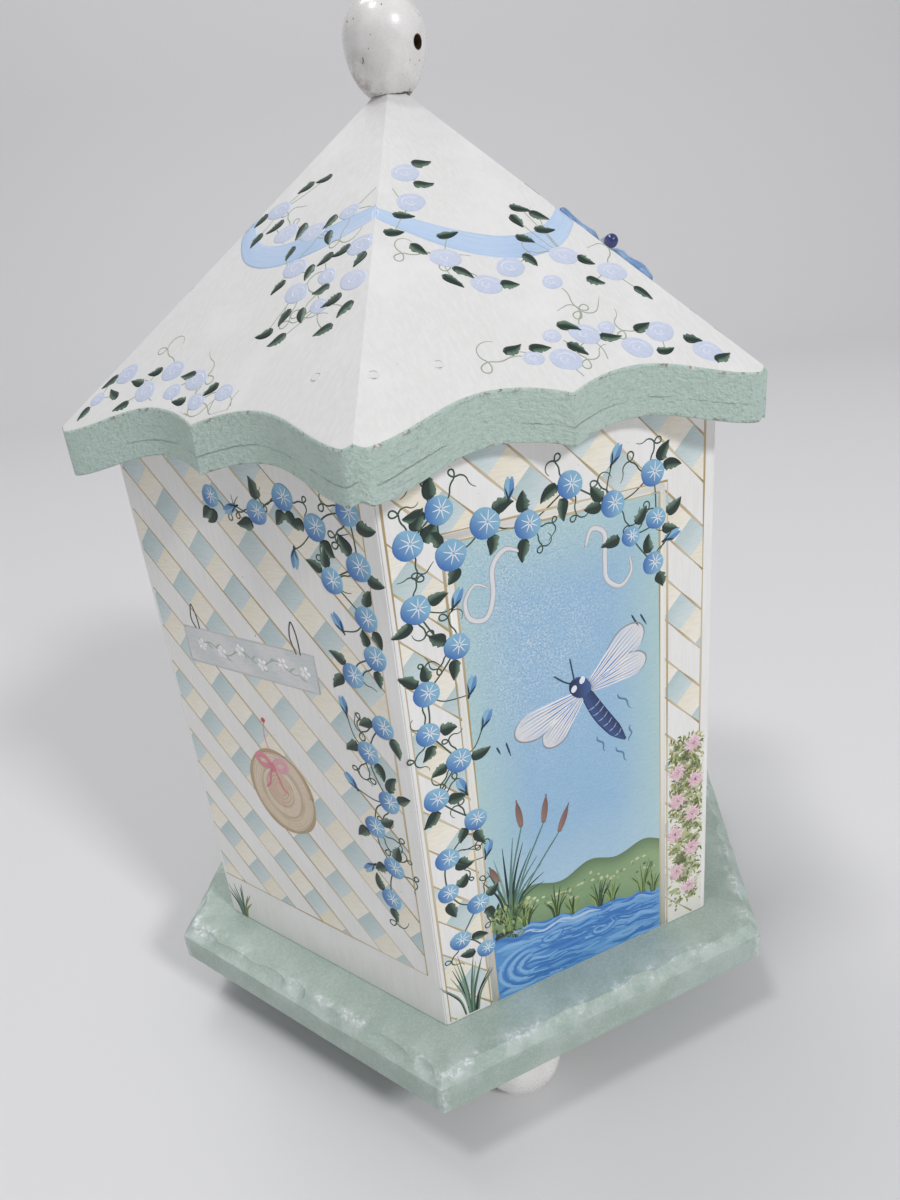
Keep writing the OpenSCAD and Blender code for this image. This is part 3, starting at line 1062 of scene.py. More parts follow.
def grass(p, s, t, count, height, tints, width=0.9, level=0.12, spread=0.5):
    """A tuft of blades fanning from one foot."""
    for k in range(count):
        f = k / (count - 1) * 2 - 1
        lean = f * spread + p.rng.uniform(-0.08, 0.08)
        tall = height * (1 - 0.35 * abs(f)) * p.rng.uniform(0.8, 1.1)
        foot = s + f * 0.12 * height * p.rng.uniform(0.3, 1)
        line = [(foot, t), (foot + tall * 0.4 * math.sin(lean * 0.6), t + tall * 0.45),
                (foot + tall * math.sin(lean), t + tall * math.cos(lean))]
        p.bead(spline(line, 1.4), taper(width, 0.6, 0.08), p.rng.choice(tints), 0.08, level)


# ---------------------------------------------------------------- front left wall: lattice, hat and sign
LATTICE_FOOT, LATTICE_TOP = 18.5, 177
TUFT = (LEAF_DARK, LEAF_LIGHT, OLIVE)


def paint_front_left():
    p = Paint(WALLS["front_left"], 11)
    left, right = -48.5, 45
    lattice(p, (left, LATTICE_FOOT), (right, LATTICE_TOP))
    rule_line(p, (right, LATTICE_FOOT), (right, LATTICE_TOP))
    rule_line(p, (left, LATTICE_FOOT), (right, LATTICE_FOOT))
    hat(p, -6, 69)
    sign(p)
    grass(p, -43, 0.5, 9, 17, TUFT)
    p.piece("lattice_painting_front_left")
    v = Paint(WALLS["front_left"], 12)
    flowers = [(-10, 166, 3.4), (8, 163), (19, 168), (29, 161), (41, 166), (42, 152, 4.2), (32, 147),
               (42, 138), (34, 120), (43, 127), (42, 106), (35, 96), (40, 81), (33, 70), (38, 57), (35, 44)]
    buds = [(0, 164, 200), (20, 154, 260), (33, 133, 120), (29, 107, 100), (28, 82, 130), (30, 55, 220)]
    vine(v, flowers, buds, lambda s, t: 24 < s < 49 and 30 < t < 174 or -16 < s < 49 and 151 < t < 174)
    v.piece("vine_painting_front_left")


def hat(p, s, t):
    """A straw hat seen from above: rings of straw laid over the lattice, a crown and a pink bow."""
    straw, pale = "#b89f7c", "#dccbb0"
    brim = ellipse(s, t, 13.8, 15.0, 0.1, 40)
    p.blob(brim, lambda x, y: blend(pale, "#e6d3c6", 0.5 + (y - t) / 30), 0.05, 0.06)
    for k, r in enumerate((15.0, 13.9, 12.8, 11.7, 10.6, 9.5)):
        outermost = k in (0, 5)
        width = 1.5 if outermost else 0.6
        tint = blend(straw, pale, 0.25 * k % 0.8)
        p.bead(closed(ellipse(s, t, r * 0.92, r, 0.1, 48)),
               lambda u, k=k, width=width: width * (1 + 0.3 * math.sin(31 * u + k)),
               tint if outermost else blend(tint, pale, 0.5), 0.06, 0.1)
    crown = ellipse(s - 0.5, t + 1, 6.6, 7.2, 0, 24)
    p.blob(crown, lambda x, y: blend(pale, "#d9b3a4", 0.45 + 0.06 * (s - x)), 0.2, 0.14)
    for r in (5.8, 4.6, 3.4, 2.2):
        p.bead(closed(ellipse(s - 0.5, t + 1, r, r * 1.08, 0.3, 30)), 0.5, blend(straw, pale, 0.3), 0.05, 0.3)
    bow(p, s - 2, t + 9)


def bow(p, s, t):
    """Two loops, two tails and a knot, and the cord that the hat hangs from."""
    rose = "#d9818d"
    for side in (-1, 1):
        loop = [(0, 0), (3, 3), (6.5, 2.5), (5, -0.4), (0, 0)]
        line = spline([(s + side * x, t + y) for x, y in loop])
        p.bead(line, 2.3, blend(rose, PINK, 0.35 + 0.2 * side), 0.12, 0.3)
        tail = [(0, 0), (1.6, -3), (2.9, -7), (5, -9)]
        p.bead(spline([(s + side * x, t + y) for x, y in tail]), taper(1.5, 0.6, 0.5), rose, 0.1, 0.28)
    p.blob(ellipse(s, t, 1.5, 1.6, 0, 12), rose, 0.2, 0.4)
    p.blob(ellipse(s, t + 17, 0.9, 0.9, 0, 10), "#b9565e", 0.3, 0.1)
    p.bead(spline([(s, t + 16), (s - 1, t + 11), (s, t + 5)]), 0.4, rose, 0.08, 0.06)


def sign(p):
    """A small hanging board, thinly painted, with a sprig of flowers in place of any words."""
    veil, wash = "#d8dada", "#e6e4e4"
    left, right = -37, 20

    def low(s):
        return 110.5 + 0.02 * s

    def high(s):
        return 122.5 + 0.02 * s

    def tint(s, t):
        band = ((s + t) / 26.0) % 1.0
        return blend(veil, AQUA, 0.12) if band < 0.5 else blend(wash, veil, 0.4)

    p.field((left, right), low, high, tint, 1.6, 0.09)
    for edge in (low, high):
        p.bead([(s, edge(s)) for s in range(left, right + 1, 3)], 0.7, "#cbc9c9", 0.06, 0.08)
    for s in (left, right):
        p.bead([(s, low(s)), (s, (low(s) + high(s)) / 2), (s, high(s))], 0.7, "#c3c1c1", 0.08, 0.08)
    sprig(p)
    for s, top in ((14, 130), (-30, 128)):
        loop = [(s - 0.9, 122), (s - 2.4, top - 3), (s - 1, top + 2), (s + 0.4, top - 2), (s + 0.7, 122)]
        p.bead(spline(loop), 0.5, "#23211f", 0.12, 0.1)


def sprig(p):
    """A wavy stem with small white five-petalled flowers and leaves on both sides."""
    trail = [(s, 116.4 + 1.5 * math.sin(0.42 * s)) for s in range(-32, 16)]
    p.bead(trail, taper(0.5, 0.5, 0.4), "#a9b8aa", 0.08, 0.12)
    for s, t in trail[2::9]:
        for k in range(5):
            petal = ray(s, t, k * 2 * math.pi / 5 + s, (0, 1.2, 2.3))
            p.bead(petal, lambda u: 0.6 + 1.2 * math.sin(2.6 * u), "#f4f1f1", 0.1, 0.16)
    for k, (s, t) in enumerate(trail[5::4]):
        side = 1 if k % 2 else -1
        line = [(s, t), (s + 1.1, t + 1.1 * side), (s + 2.6, t + 1.7 * side)]
        p.bead(line, taper(1.0, 0.3, 0.2), "#b3c2b5", 0.08, 0.14)


# ---------------------------------------------------------------- front right wall: window on a pond
# the window's sides, its foot and its top
LEFT, RIGHT = -31.5, 31.0
LOW, HIGH = 0.6, 155.0
HILL_FOOT = 23.0


def hill_top(s):
    return 39.5 + 1.6 * math.cos((s + 17) * 2 * math.pi / 21) + 0.03 * s - 0.14 * max(0, s - 16)


def shore(s):
    return HILL_FOOT - s / 6 + 0.5 * math.sin(s * 0.6)


def in_window(s, t):
    return LEFT < s < RIGHT and LOW < t < HIGH


def window_lines(p):
    """Double gold lines round the window, with a white bar between them."""
    bars = (((LEFT - 1.4, LOW), (LEFT - 1.4, HIGH + 1.6)), ((RIGHT + 1.2, LOW), (RIGHT + 1.2, HIGH + 1.6)),
            ((LEFT - 2, HIGH + 1.6), (RIGHT + 2, HIGH + 1.6)))
    for a, b in bars:
        p.bead([a, between(a, b), b], 2.6, "#f0ede4", 0.05, 0.03)
    for d in (0.2, 2.9):
        rule_line(p, (LEFT - d, LOW), (LEFT - d, HIGH + d), level=0.08)
        rule_line(p, (RIGHT + d, LOW), (RIGHT + d, HIGH + d), level=0.08)
        rule_line(p, (LEFT - d, HIGH + d), (RIGHT + d, HIGH + d), level=0.08)


def paint_front_right():
    p = Paint(WALLS["front_right"], 21)
    left, right, foot, band_top = -48.5, 46.5, 1, 74
    lattice(p, (left, foot), (right, LATTICE_TOP), in_window)
    rule_line(p, (left, foot), (left, LATTICE_TOP))
    rule_line(p, (right, band_top), (right, LATTICE_TOP))
    p.cell([(34.5, foot), (48.5, foot), (48.5, band_top), (34.5, band_top)], "#efece2", 0.05)
    sky(p)
    window_lines(p)
    hill(p)
    pond(p)
    p.piece("window_painting_front_right")
    d = Paint(WALLS["front_right"], 22)
    cattails(d)
    painted_dragonfly(d)
    scrolls(d)
    rose_bush(d)
    grass(d, -41, 1, 14, 25, (LEAF_DARK, LEAF_LIGHT, "#4d6b57", "#7f9a86"), 0.75)
    d.piece("pond_life_painting_front_right")
    v = Paint(WALLS["front_right"], 23)
    flowers = [(-43, 157, 4.2), (-34, 164), (-32, 152, 4.4), (-22, 158, 4.4), (-10, 155, 4.0), (3, 163),
               (16, 155), (29, 161), (30, 148, 3.4), (21.6, 144.6, 3.0), (29, 135, 3.6), (-43, 140, 4.2),
               (-33, 127), (-43, 116), (-44, 104, 3.6), (-36, 93, 4.0), (-44, 83), (-33, 72, 3.7), (-43, 62),
               (-44, 50, 3.4), (-35, 42, 3.8), (-42, 31, 3.6), (-34, 24, 3.2)]
    buds = [(-15, 163, 80), (16, 166, 60), (33, 141, 20), (-33, 138, 60), (-31, 112, 70), (-28, 101, 60),
            (-35, 82, 110), (-31, 58, 70)]
    vine(v, flowers, buds, lambda s, t: -49 < s < 48 and 144 < t < 173 or -49 < s < -25 and 18 < t < 150
         or 24 < s < 44 and 120 < t < 150)
    v.piece("vine_painting_front_right")


def sky(p):
    blue, aqua, pale = "#99c0df", "#b7d5d3", "#bbd6e3"

    def tint(s, t):
        edge = min(s - LEFT, RIGHT - s, (HIGH - t) * 0.8)
        colour = blend(aqua, blue, 0.05 + edge / 18)
        return blend(colour, pale, max(0.0, (62 - t) / 40))

    def speckle(s, t):
        away = math.dist((s, t * 0.75), (-14, 96))
        return min(0.95, max(0.2, 1.15 - away / 42)) * (1.0 if s < 24 else 0.6)

    p.field((LEFT, RIGHT), 34.0, HIGH, tint, 1.8, 0.05, speckle)


def hill(p):
    """A rounded green bank with pale specks, rough growth at its left end and reeds along the shore."""
    green, dark, light = "#85a277", "#526c4b", "#9db58a"

    def tint(s, t):
        f = (t - shore(s)) / (hill_top(s) - shore(s))
        colour = blend(green, light, max(0.0, (s - 5) / 40))
        return blend(colour, dark, max(0.0, (f - 0.72) * 2.6) + max(0.0, 0.3 - f) * 0.8)

    p.field((LEFT, RIGHT), lambda s: shore(s) - 1, hill_top, tint, 1.3, 0.09)
    for _ in range(90):
        s = p.rng.uniform(LEFT + 2, RIGHT - 2)
        t = shore(s) + (hill_top(s) - shore(s)) * p.rng.uniform(0.32, 0.72)
        tone = blend("#cfd8a8", "#66875a", p.rng.random())
        p.blob(ellipse(s, t, p.rng.uniform(0.5, 1.1), p.rng.uniform(0.4, 0.8), 0, 8), tone, 0.1, 0.1)
    for _ in range(70):
        s = p.rng.uniform(LEFT + 0.6, LEFT + 13)
        t = shore(s) + p.rng.uniform(-3, 9)
        a = p.rng.uniform(0.5, 2.6)
        tone = p.rng.choice(("#4d6340", "#7c9152", "#b3bd84", "#33492f"))
        p.bead(ray(s, t, a, (0, 1.4, 2.6)), taper(1.3, 0.4, 0.2), tone, 0.1, 0.14)
    blades = ("#39542f", "#2c4529", "#6b8a4b", "#93aa63")
    for s, tall in ((-25, 17), (-20, 12), (-9, 12), (-3, 9), (7, 13), (12, 9), (24, 14), (28, 9)):
        grass(p, s, shore(s) - 0.6, 9, tall, blades, 0.7, 0.16)


DEEP, MID, PALE, FOAM = "#3570bb", "#5d9cd7", "#9ac4e8", "#c9dcef"


def pond(p):
    """Blue water: long wavy strokes in rows, nested arcs at the left end and two swirls."""
    def tint(s, t):
        depth = 0.9 * math.exp(-((s + 4) / 22) ** 2) * t / shore(s)
        return blend(blend(MID, DEEP, depth), PALE, max(0.0, (s - 12) / 60))

    p.field((LEFT, RIGHT), LOW, shore, tint, 1.5, 0.11)
    rows = 17
    for k in range(rows):
        for _ in range(6):
            water_stroke(p, k, rows)
    for k in range(6):
        r = 3.2 + 1.8 * k
        arc = []
        for f in steps(20):
            a = 1.7 + 3.0 * f
            s, t = LEFT + 13.2 + r * math.cos(a), LOW + 9.5 + 0.68 * r * math.sin(a)
            arc.append((s, min(max(t, LOW + 0.6), shore(s) - 0.8)))
        p.bead(arc, taper(1.9, 0.3, 0.3), edged(PALE if k % 2 else DEEP, MID, 0.15, 0.7), 0.1, 0.17)
    for s, t, r in ((-12, 17.5, 3.0), (7, 12, 3.6)):
        for tone, grow in ((DEEP, 1.25), (PALE, 1.0)):
            turns = [0.15 + 0.85 * f for f in steps(18)]
            swirl = [(s + grow * r * f * 1.5 * math.cos(7 * f), t + grow * r * f * 0.8 * math.sin(7 * f))
                     for f in turns]
            p.bead(swirl, taper(1.7, 0.3, 0.2), edged(tone, MID, 0.3, 0.7), 0.1, 0.2)


def water_stroke(p, k, rows):
    """One stroke of row k, kept between the window's foot and the shore; foam only near the shore."""
    f = (k + 0.5) / rows
    start = p.rng.uniform(LEFT - 6, RIGHT - 8)
    end = min(RIGHT - 0.3, start + p.rng.uniform(9, 24))
    start = max(start, LEFT + 0.3)
    lift = p.rng.uniform(-0.5, 0.5) / rows
    wave, phase = p.rng.uniform(0.2, 0.7), p.rng.uniform(0, 6)
    foot = LOW + 0.5
    line = []
    for u in steps(max(4, round((end - start) / 1.2))):
        s = start + (end - start) * u
        top = shore(s) - 0.8
        t = foot + (top - foot) * (f + lift) + wave * math.sin(s * 0.55 + phase)
        line.append((s, min(max(t, foot), top)))
    shade = p.rng.random()
    tone = DEEP if shade < 0.34 else blend(MID, PALE, p.rng.random()) if shade < 0.95 or k < 12 else FOAM
    width = p.rng.uniform(1.3, 2.9)
    p.bead(line, taper(width, 0.2, 0.15), edged(blend(tone, MID, 0.08), MID, 0, 0.7), 0.1, 0.14)


def cattails(p):
    """Brown heads on long stems that lean out from one clump at the pond's left edge."""
    brown, rust, stalk = "#7d584c", "#a98a7e", "#5f8478"
    foot = (-25, 30)
    for s, t, lean in ((-18.8, 63.5, 0.1), (-11.3, 62, -0.15), (-6.2, 56.5, -0.4), (-28, 47, 0.35)):
        mid = between(foot, (s, t), 0.5, -1.2)
        p.bead(spline([foot, mid, (s, t)], 1.4), taper(0.7, 0.8, 0.6), stalk, 0.08, 0.12)
        long = 9.8 if t > 55 else 7.0
        line = [polar(s, t, u * long, math.pi / 2 + lean) for u in steps(11)]
        p.bead(line, lambda u: 2.2 * math.sin(math.pi * min(1, 0.12 + u)) ** 0.6 + 0.25 if u < 0.84 else 0.5,
               lambda u, v: blend(brown, rust, 0.6 * (1 - u) + 0.3 * v), 0.16, 0.2)
    for k in range(11):
        lean = -0.35 + 0.11 * k
        tall = 34 - abs(k - 4) * 2.6
        tip = (foot[0] + tall * math.sin(lean), foot[1] - 3 + tall * math.cos(lean))
        mid = (foot[0] + tall * 0.45 * math.sin(lean * 0.7), foot[1] - 3 + tall * 0.5)
        tone = p.rng.choice((INK, stalk, "#3c5f54", "#86a596"))
        line = [(foot[0] + p.rng.uniform(-2, 2), foot[1] - 8), mid, tip]
        p.bead(spline(line, 1.4), taper(1.1, 0.7, 0.1), tone, 0.08, 0.13)


def painted_wing(p, root, tip, half):
    """A pale wing, blue at its root, with fifteen veins and a fine line along its tip."""
    white, shade, blue, rosy = "#f2f0f0", "#a9a5a8", "#3f86d2", "#d6c8c0"
    length = math.dist(root, tip)
    a = math.atan2(tip[1] - root[1], tip[0] - root[0])
    count = 16
    edge = []
    for f in steps(count):
        u = 0.5 - 0.5 * math.cos(math.pi * f)
        wide = half * 0.9 * (1 - (2 * max(0, u - 0.5)) ** 2.6) ** 0.5 * min(1, 0.1 + 1.2 * u)
        edge.append((length * u, wide))
    outline = [swung(*root, x, y, a) for x, y in edge + [(x, -y) for x, y in reversed(edge[1:-1])]]
    at_root, at_tip = "#7fb2e4", "#e6e4e6"
    p.blob(outline, lambda *q: blend(at_root, at_tip, 1.6 * math.dist(q, root) / length - 0.5), 0.1, 0.06)
    for k in range(15):
        f = (k - 7) / 7.7
        far = 0.9 - 0.2 * f * f - p.rng.uniform(0, 0.05) - (0.25 if k % 4 == 1 else 0)
        line = []
        for q in steps(7):
            u = 0.08 + far * q
            y = f * half * 0.84 * min(1, 0.15 + 1.2 * u) * (1 - 0.15 * u)
            line.append(swung(*root, length * u, y, a))
        tone = (white, blue, white, shade if k % 8 == 3 else rosy)[k % 4]
        paler = 1.6 if tone == blue else 0
        p.bead(line, taper((1.0, 1.1, 0.9, 0.4)[k % 4], 0.5, 0.1),
               lambda u, v, tone=tone, paler=paler: blend(tone, white, paler * u - 1.0), 0.08, 0.15)
    p.bead(outline[count // 2:count + count // 3], taper(0.5, 0.1, 0.1), "#9a9390", 0.06, 0.14)


def painted_body(p, root, tail):
    """A navy body with six pale bands, a round head, two eyes and two feelers."""
    navy, mid, band = "#1c2e5a", "#3f5b92", "#a9b6d6"
    line = [between(root, tail, u, -1.2 * math.sin(3 * u), -0.6 * u) for u in steps(14)]
    p.bead(line, lambda u: 3.9 + 1.5 * math.sin(math.pi * u) - 2.8 * max(0, u - 0.8) * 5 * u,
           lambda u, v: blend(navy, mid, 0.5 - 0.55 * v), 0.45, 0.2)
    for k in range(6):
        i = 4 + k * 1.6
        a, b = line[int(i)], line[int(i) + 1]
        c = between(a, b, i % 1)
        heading = math.atan2(b[1] - a[1], b[0] - a[0])
        wide = 2.4 - 0.17 * k
        arc = [swung(*c, -0.5 * q * q, wide * q, heading) for q in (-1, -0.5, 0, 0.5, 1)]
        p.bead(arc, taper(0.55, 0.3, 0.3), band, 0.1, 0.55)
    head = ellipse(3.4, 103.2, 4.1, 3.2, -0.7, 18)
    p.blob(head, lambda x, y: blend(navy, mid, 0.5 + (x - 3.6) * 0.25), 0.4, 0.25)
    for s, t in ((1.2, 103.5), (4.0, 105.5)):
        p.blob(ellipse(s, t, 0.95, 1.25, -0.5, 12), STAR, 0.15, 0.6)
    for bend, tip in (((-1.5, 106.4), (-5, 109.4)), ((1.2, 108.5), (0.4, 113.4))):
        p.bead(spline([(1.8, 104.6), bend, tip]), taper(0.6, 0.5, 0.6), "#24445a", 0.12, 0.15)


def painted_dragonfly(p):
    """Four pale veined wings, a banded navy body, a round head and dashes of motion round it."""
    root = (5.0, 101.5)
    for s, t, half in ((25, 117, 6.2), (26.3, 106.5, 5.2), (-18.5, 94, 6.0), (-9, 87.5, 5.2)):
        painted_wing(p, root, (s, t), half)
    painted_body(p, root, (18.5, 81.5))
    straight = (((-21.4, 93.5), (-20.2, 88.6)), ((-24.4, 93), (-23.4, 90.4)), ((21.4, 121), (23.8, 116.8)),
                ((24.4, 120.5), (26.6, 116.6)))
    wavy = (((16, 97), (21, 91)), ((8.5, 85), (11.5, 79)), ((15, 79), (19, 73)), ((20.5, 85), (20, 79.5)))
    for dashes, tone, sway in ((straight, "#24456f", 0.0), (wavy, "#5b86ad", 0.5)):
        for a, b in dashes:
            heading = math.atan2(b[1] - a[1], b[0] - a[0])
            line = [swung(*a, math.dist(a, b) * f, -sway * math.sin(9 * f), heading) for f in steps(12)]
            p.bead(line, taper(0.75, 0.4, 0.2), tone, 0.08, 0.1)


def scrolls(p):
    """White looped scrolls that hang into the window from its upper corners."""
    loops = (((-12, 148), (-17, 150), (-21, 146), (-21.5, 138), (-24, 132.5), (-28.5, 133.5), (-29.5, 138.5),
              (-26.5, 142.5), (-23, 141)),
             ((7, 145), (9, 149.5), (13, 147.5), (13, 140), (13.5, 134), (18, 131), (21.5, 134.5), (21, 139)))
    for points in loops:
        line = spline(points, 0.9)
        p.bead(line, taper(2.2, 0.5, 0.4), "#b3aca6", 0.06, 0.06)
        p.bead(line, taper(1.6, 0.4, 0.3), "#e3e5e9", 0.1, 0.12)


def rose_bush(p):
    """Soft pink blossoms among yellow-green dabs in the right band, thinning out towards the ground."""
    greens = (OLIVE, "#a9ab62", "#64793b", "#56703a", "#c3c48a")
    for _ in range(170):
        t = 8 + 63 * p.rng.random() ** 0.8
        s = p.rng.uniform(36.6, 46.6)
        tone = blend("#d3d4b6", "#96a263", p.rng.random())
        dab = ellipse(s, t, p.rng.uniform(1.0, 2.2), p.rng.uniform(0.9, 1.9), 0, 9, 0.05, p.rng)
        p.blob(dab, tone, 0.05, 0.06)
    for _ in range(460):
        t = 4 + 70 * p.rng.random() ** 0.75
        s = p.rng.uniform(34.8, 47.8)
        a = p.rng.uniform(0, math.pi)
        half = p.rng.uniform(1.0, 2.8) * (0.45 + 0.55 * min(1, t / 26)) / 2
        line = [polar(s, t, -half, a), (s + 0.2, t + 0.3), polar(s, t, half, a)]
        p.bead(line, taper(p.rng.uniform(0.5, 1.3), 0.3, 0.2), p.rng.choice(greens), 0.08, 0.08)
    for s, t in ((44, 70), (38, 61), (45, 56), (38, 50), (44, 43), (37, 37), (44, 29), (38, 21), (43, 13)):
        blossom(p, s, t)


def blossom(p, s, t, r=3.7, petals=26):
    """Pink petals in a spiral, the last and smallest on top."""
    for k in range(petals):
        a = k * 2.4 + t
        reach = r * math.sqrt(1 - k / petals)
        tone = blend(PINK, "#f8eef0", p.rng.random())
        line = [polar(s, t, 0.35 * reach, a), polar(s, t, 0.7 * reach, a + 0.15), polar(s, t, 1.1 * reach, a)]
        p.bead(line, taper(1.3, 0.5, 0.15),
               lambda u, v, tone=tone: blend(tone, PINK, 1 - u), 0.08, 0.15 + 0.008 * k)


# ---------------------------------------------------------------- the sides the front hides
def entry_ring():
    """(s, t, radius) of the ring painted round the entry hole."""
    hole = mount("entry_hole")
    return 0.0, (hole["pos_m"][2] - BASE_TOP) / MM, hole["dims"]["r_mm"] + 4.7


def paint_plain(side, seed):
    """Lattice to the corners with a vine across the top, down one edge and round the entry hole."""
    ring = entry_ring() if side == "right" else None
    half = 46.5

    def clear_of_ring(place, gap):
        return not ring or math.dist(place, ring[:2]) > ring[2] + gap

    p = Paint(WALLS[side], seed)
    covered = (lambda *q: not clear_of_ring(q, 0)) if ring else None
    lattice(p, (-half, LATTICE_FOOT), (half, LATTICE_TOP), covered, ring)
    for s in (-half, half):
        rule_line(p, (s, LATTICE_FOOT), (s, LATTICE_TOP))
    rule_line(p, (-half, LATTICE_FOOT), (half, LATTICE_FOOT))
    for s in (-40, 38):
        grass(p, s, 0.6, 9, 16, TUFT)
    if ring:
        for inset, width, tint in ((3.1, 1.6, GOLD), (1.1, 2.2, "#b9d6d2")):
            r = ring[2] - inset
            p.bead(closed(ellipse(*ring[:2], r, r, 0, 72)), width, tint, 0.08, 0.05)
    p.piece("lattice_painting_" + side)
    v = Paint(WALLS[side], seed + 1)
    hand = v.rng.choice((-1, 1))
    flowers = plain_flowers(v, hand, seed, ring, clear_of_ring)
    buds = [(f[0] - hand * 8, f[1] - 5) for f in flowers[1::3]]
    buds = [(*q, 90 + 60 * hand) for q in buds if abs(q[0]) < 40 and clear_of_ring(q, 5)]
    vine(v, flowers, buds, lambda s, t: -48 < s < 48 and 24 < t < 172 and clear_of_ring((s, t), -2))
    v.piece("vine_painting_" + side)


def plain_flowers(p, hand, seed, ring, clear_of_ring):
    """Flowers across the top, round the entry ring where there is one, and down the edge on one hand."""
    flowers = [(hand * (-42 + k * 11.5), 161 + 4.5 * math.sin(k * 2.3 + seed), p.rng.uniform(3.4, 4.3))
               for k in range(8)]
    for k in range(13 if ring else 0):
        r = ring[2] + 3 + p.rng.uniform(-0.8, 1.6)
        flowers.append((*polar(*ring[:2], r, math.radians(112 + k * 26)), p.rng.uniform(3.3, 4.2)))
    for k in range(1, 10):
        place = (hand * (40 + 4.5 * math.sin(k * 2.0 + seed)), 160 - k * 12.5)
        if clear_of_ring(place, 12):
            flowers.append((*place, p.rng.uniform(3.2, 4.2)))
    return flowers


# ---------------------------------------------------------------- roof: swag of ribbon and roses
def rose(p, s, t, r=3.9):
    """A lavender bloom, paler at its heart, with thin white swirls."""
    pale, white = "#d3d8ea", "#e6e9f3"
    turn = p.rng.uniform(-0.5, 0.5)
    tone = p.rng.uniform(0, 0.5)
    p.blob(ellipse(s, t, r * 1.12, r * 0.9, turn, 20, 0.02, p.rng),
           lambda x, y: blend(LAVENDER, pale, tone + (y - t) / r * 0.35), 0.1, 0.1)
    for k, f in enumerate((0.66, 0.36, 0.14)):
        turns = [turn + k * 2.1 + 0.5 * i for i in range(8)]
        arc = [(s + r * f * math.cos(a), t + r * f * 0.8 * math.sin(a)) for a in turns]
        p.bead(arc, taper(0.6, 0.2, 0.2), blend(pale, white, 0.6), 0.05, 0.17)


# each layout: roses (s, t, size), leaves (s, t), the way its leaves trail in degrees
SWAG_A = (
    [(-11, 88), (-14, 76), (-13, 54), (-6, 43), (3, 48), (20, 50), (31, 42), (12, 41, 2.8)],
    [(-5, 91), (-8, 82), (-17, 82), (-18, 71), (-23, 65), (-19, 58), (-9, 62), (-14, 46), (-10, 49),
     (0, 42), (10, 50), (25, 47), (24, 39), (36, 33), (13, 65), (12, 58), (20, 66), (19, 60), (16, 70)], -35)
SWAG_B = (
    [(-15, 80), (-6, 70), (5, 69), (15, 75, 3.0), (6, 56), (12, 47), (20, 52, 3.0), (26, 62), (30, 50),
     (23, 42, 2.8)],
    [(-9, 88), (-3, 90), (-12, 73), (-21, 77), (-18, 69), (0, 70), (0, 62), (10, 72), (12, 66), (20, 83),
     (22, 76), (16, 58), (12, 54), (21, 60), (28, 57), (3, 50), (21, 47), (27, 43), (32, 41), (12, 39),
     (18, 39), (15, 31), (29, 34), (9, 33)], -115)
CLUSTER_A = (
    [(3, 15), (12, 22), (24, 15), (33, 19), (43, 10), (-5, 17, 2.6), (3, 23, 2.4), (19, 23, 2.4)],
    [(-2, 20), (8, 18), (18, 19), (14, 13), (5, 9), (29, 21), (31, 12), (41, 15), (46, 7), (9, 26),
     (-9, 20)], -20)
CLUSTER_B = (
    [(-40, 21), (-27, 15), (-20, 22), (-15, 15, 3.0), (-8, 19), (-3, 12, 3.0), (6, 15, 3.0), (-47, 12, 2.6)],
    [(-50, 7), (-46, 18), (-41, 13), (-33, 18), (-27, 21), (-22, 12), (-12, 20), (-10, 12), (0, 16), (4, 9),
     (11, 11), (-34, 10)], -160)
SAG_A = [(-27, 75), (-20, 69), (-8, 60.5), (5, 55.5), (17, 56.5), (25, 62), (31, 70)]
SAG_B = [(-26, 79), (-21, 69.5), (-14, 63), (-4, 61.5), (8, 65), (19, 70.5), (27, 75)]


def half_width(t):
    """From the roof board's middle line to its ridges, at height t."""
    return EAVE_HALF / MM * (1 - t * MM * math.cos(SLOPE) / EAVE)


def in_roof(s, t):
    """True on the board, clear of its ridges and eave."""
    return abs(s) < half_width(t) - 1.5 and t > eave_depth(s) + 2.5


def to_ridge(s, t):
    """Holds a point on the board, a hair inside its ridges and its eave."""
    t = max(t, eave_depth(s) + 1.3)
    half = half_width(t) - 0.15
    return max(-half, min(half, s)), t


def ribbon(p, sag):
    """A flat ribbon from ridge to ridge: narrow where it starts, widest where it hangs lowest."""
    def width(u):
        return 3.0 + 7.8 * math.sin(math.pi * min(1, 0.06 + 0.8 * u)) ** 1.1 - 1.5 * max(0, u - 0.85)

    def tint(u, v):
        fold = math.exp(-((u - 0.62) / 0.08) ** 2) * 0.5
        satin = blend(RIBBON, "#c9d8ee", 0.25 + 0.35 * v * math.sin(6 * u))
        return blend(satin, "#93b4de", fold * (0.5 - 0.5 * v))

    p.bead(spline(sag, 1.2), width, tint, 0.05, 0.03)


def spray(p, roses, leaves, trail):
    """Roses on thin curling stems with leaves that all trail roughly one way."""
    green = "#a2ab96"
    for place in leaves:
        link(p, place, nearest(roses, place), 1.5, 0.35, green)
    for f in roses:
        if p.rng.random() < 0.85:
            a = p.rng.uniform(0, 2 * math.pi)
            if in_roof(*polar(*f[:2], 11, a)):
                tendril(p, *polar(*f[:2], 3, a), a, p.rng.uniform(0.9, 1.5), green, 0.42)
        rose(p, *f)
    for place in leaves:
        heading = math.radians(trail) + p.rng.uniform(-0.6, 0.6)
        half = p.rng.uniform(2.6, 3.3)
        stalk, tip = ray(*place, heading, (-half, half))
        if in_roof(*stalk) and in_roof(*tip):
            leaf(p, *stalk, heading, 2 * half, p.rng.uniform(2.4, 3.0), 0.22)


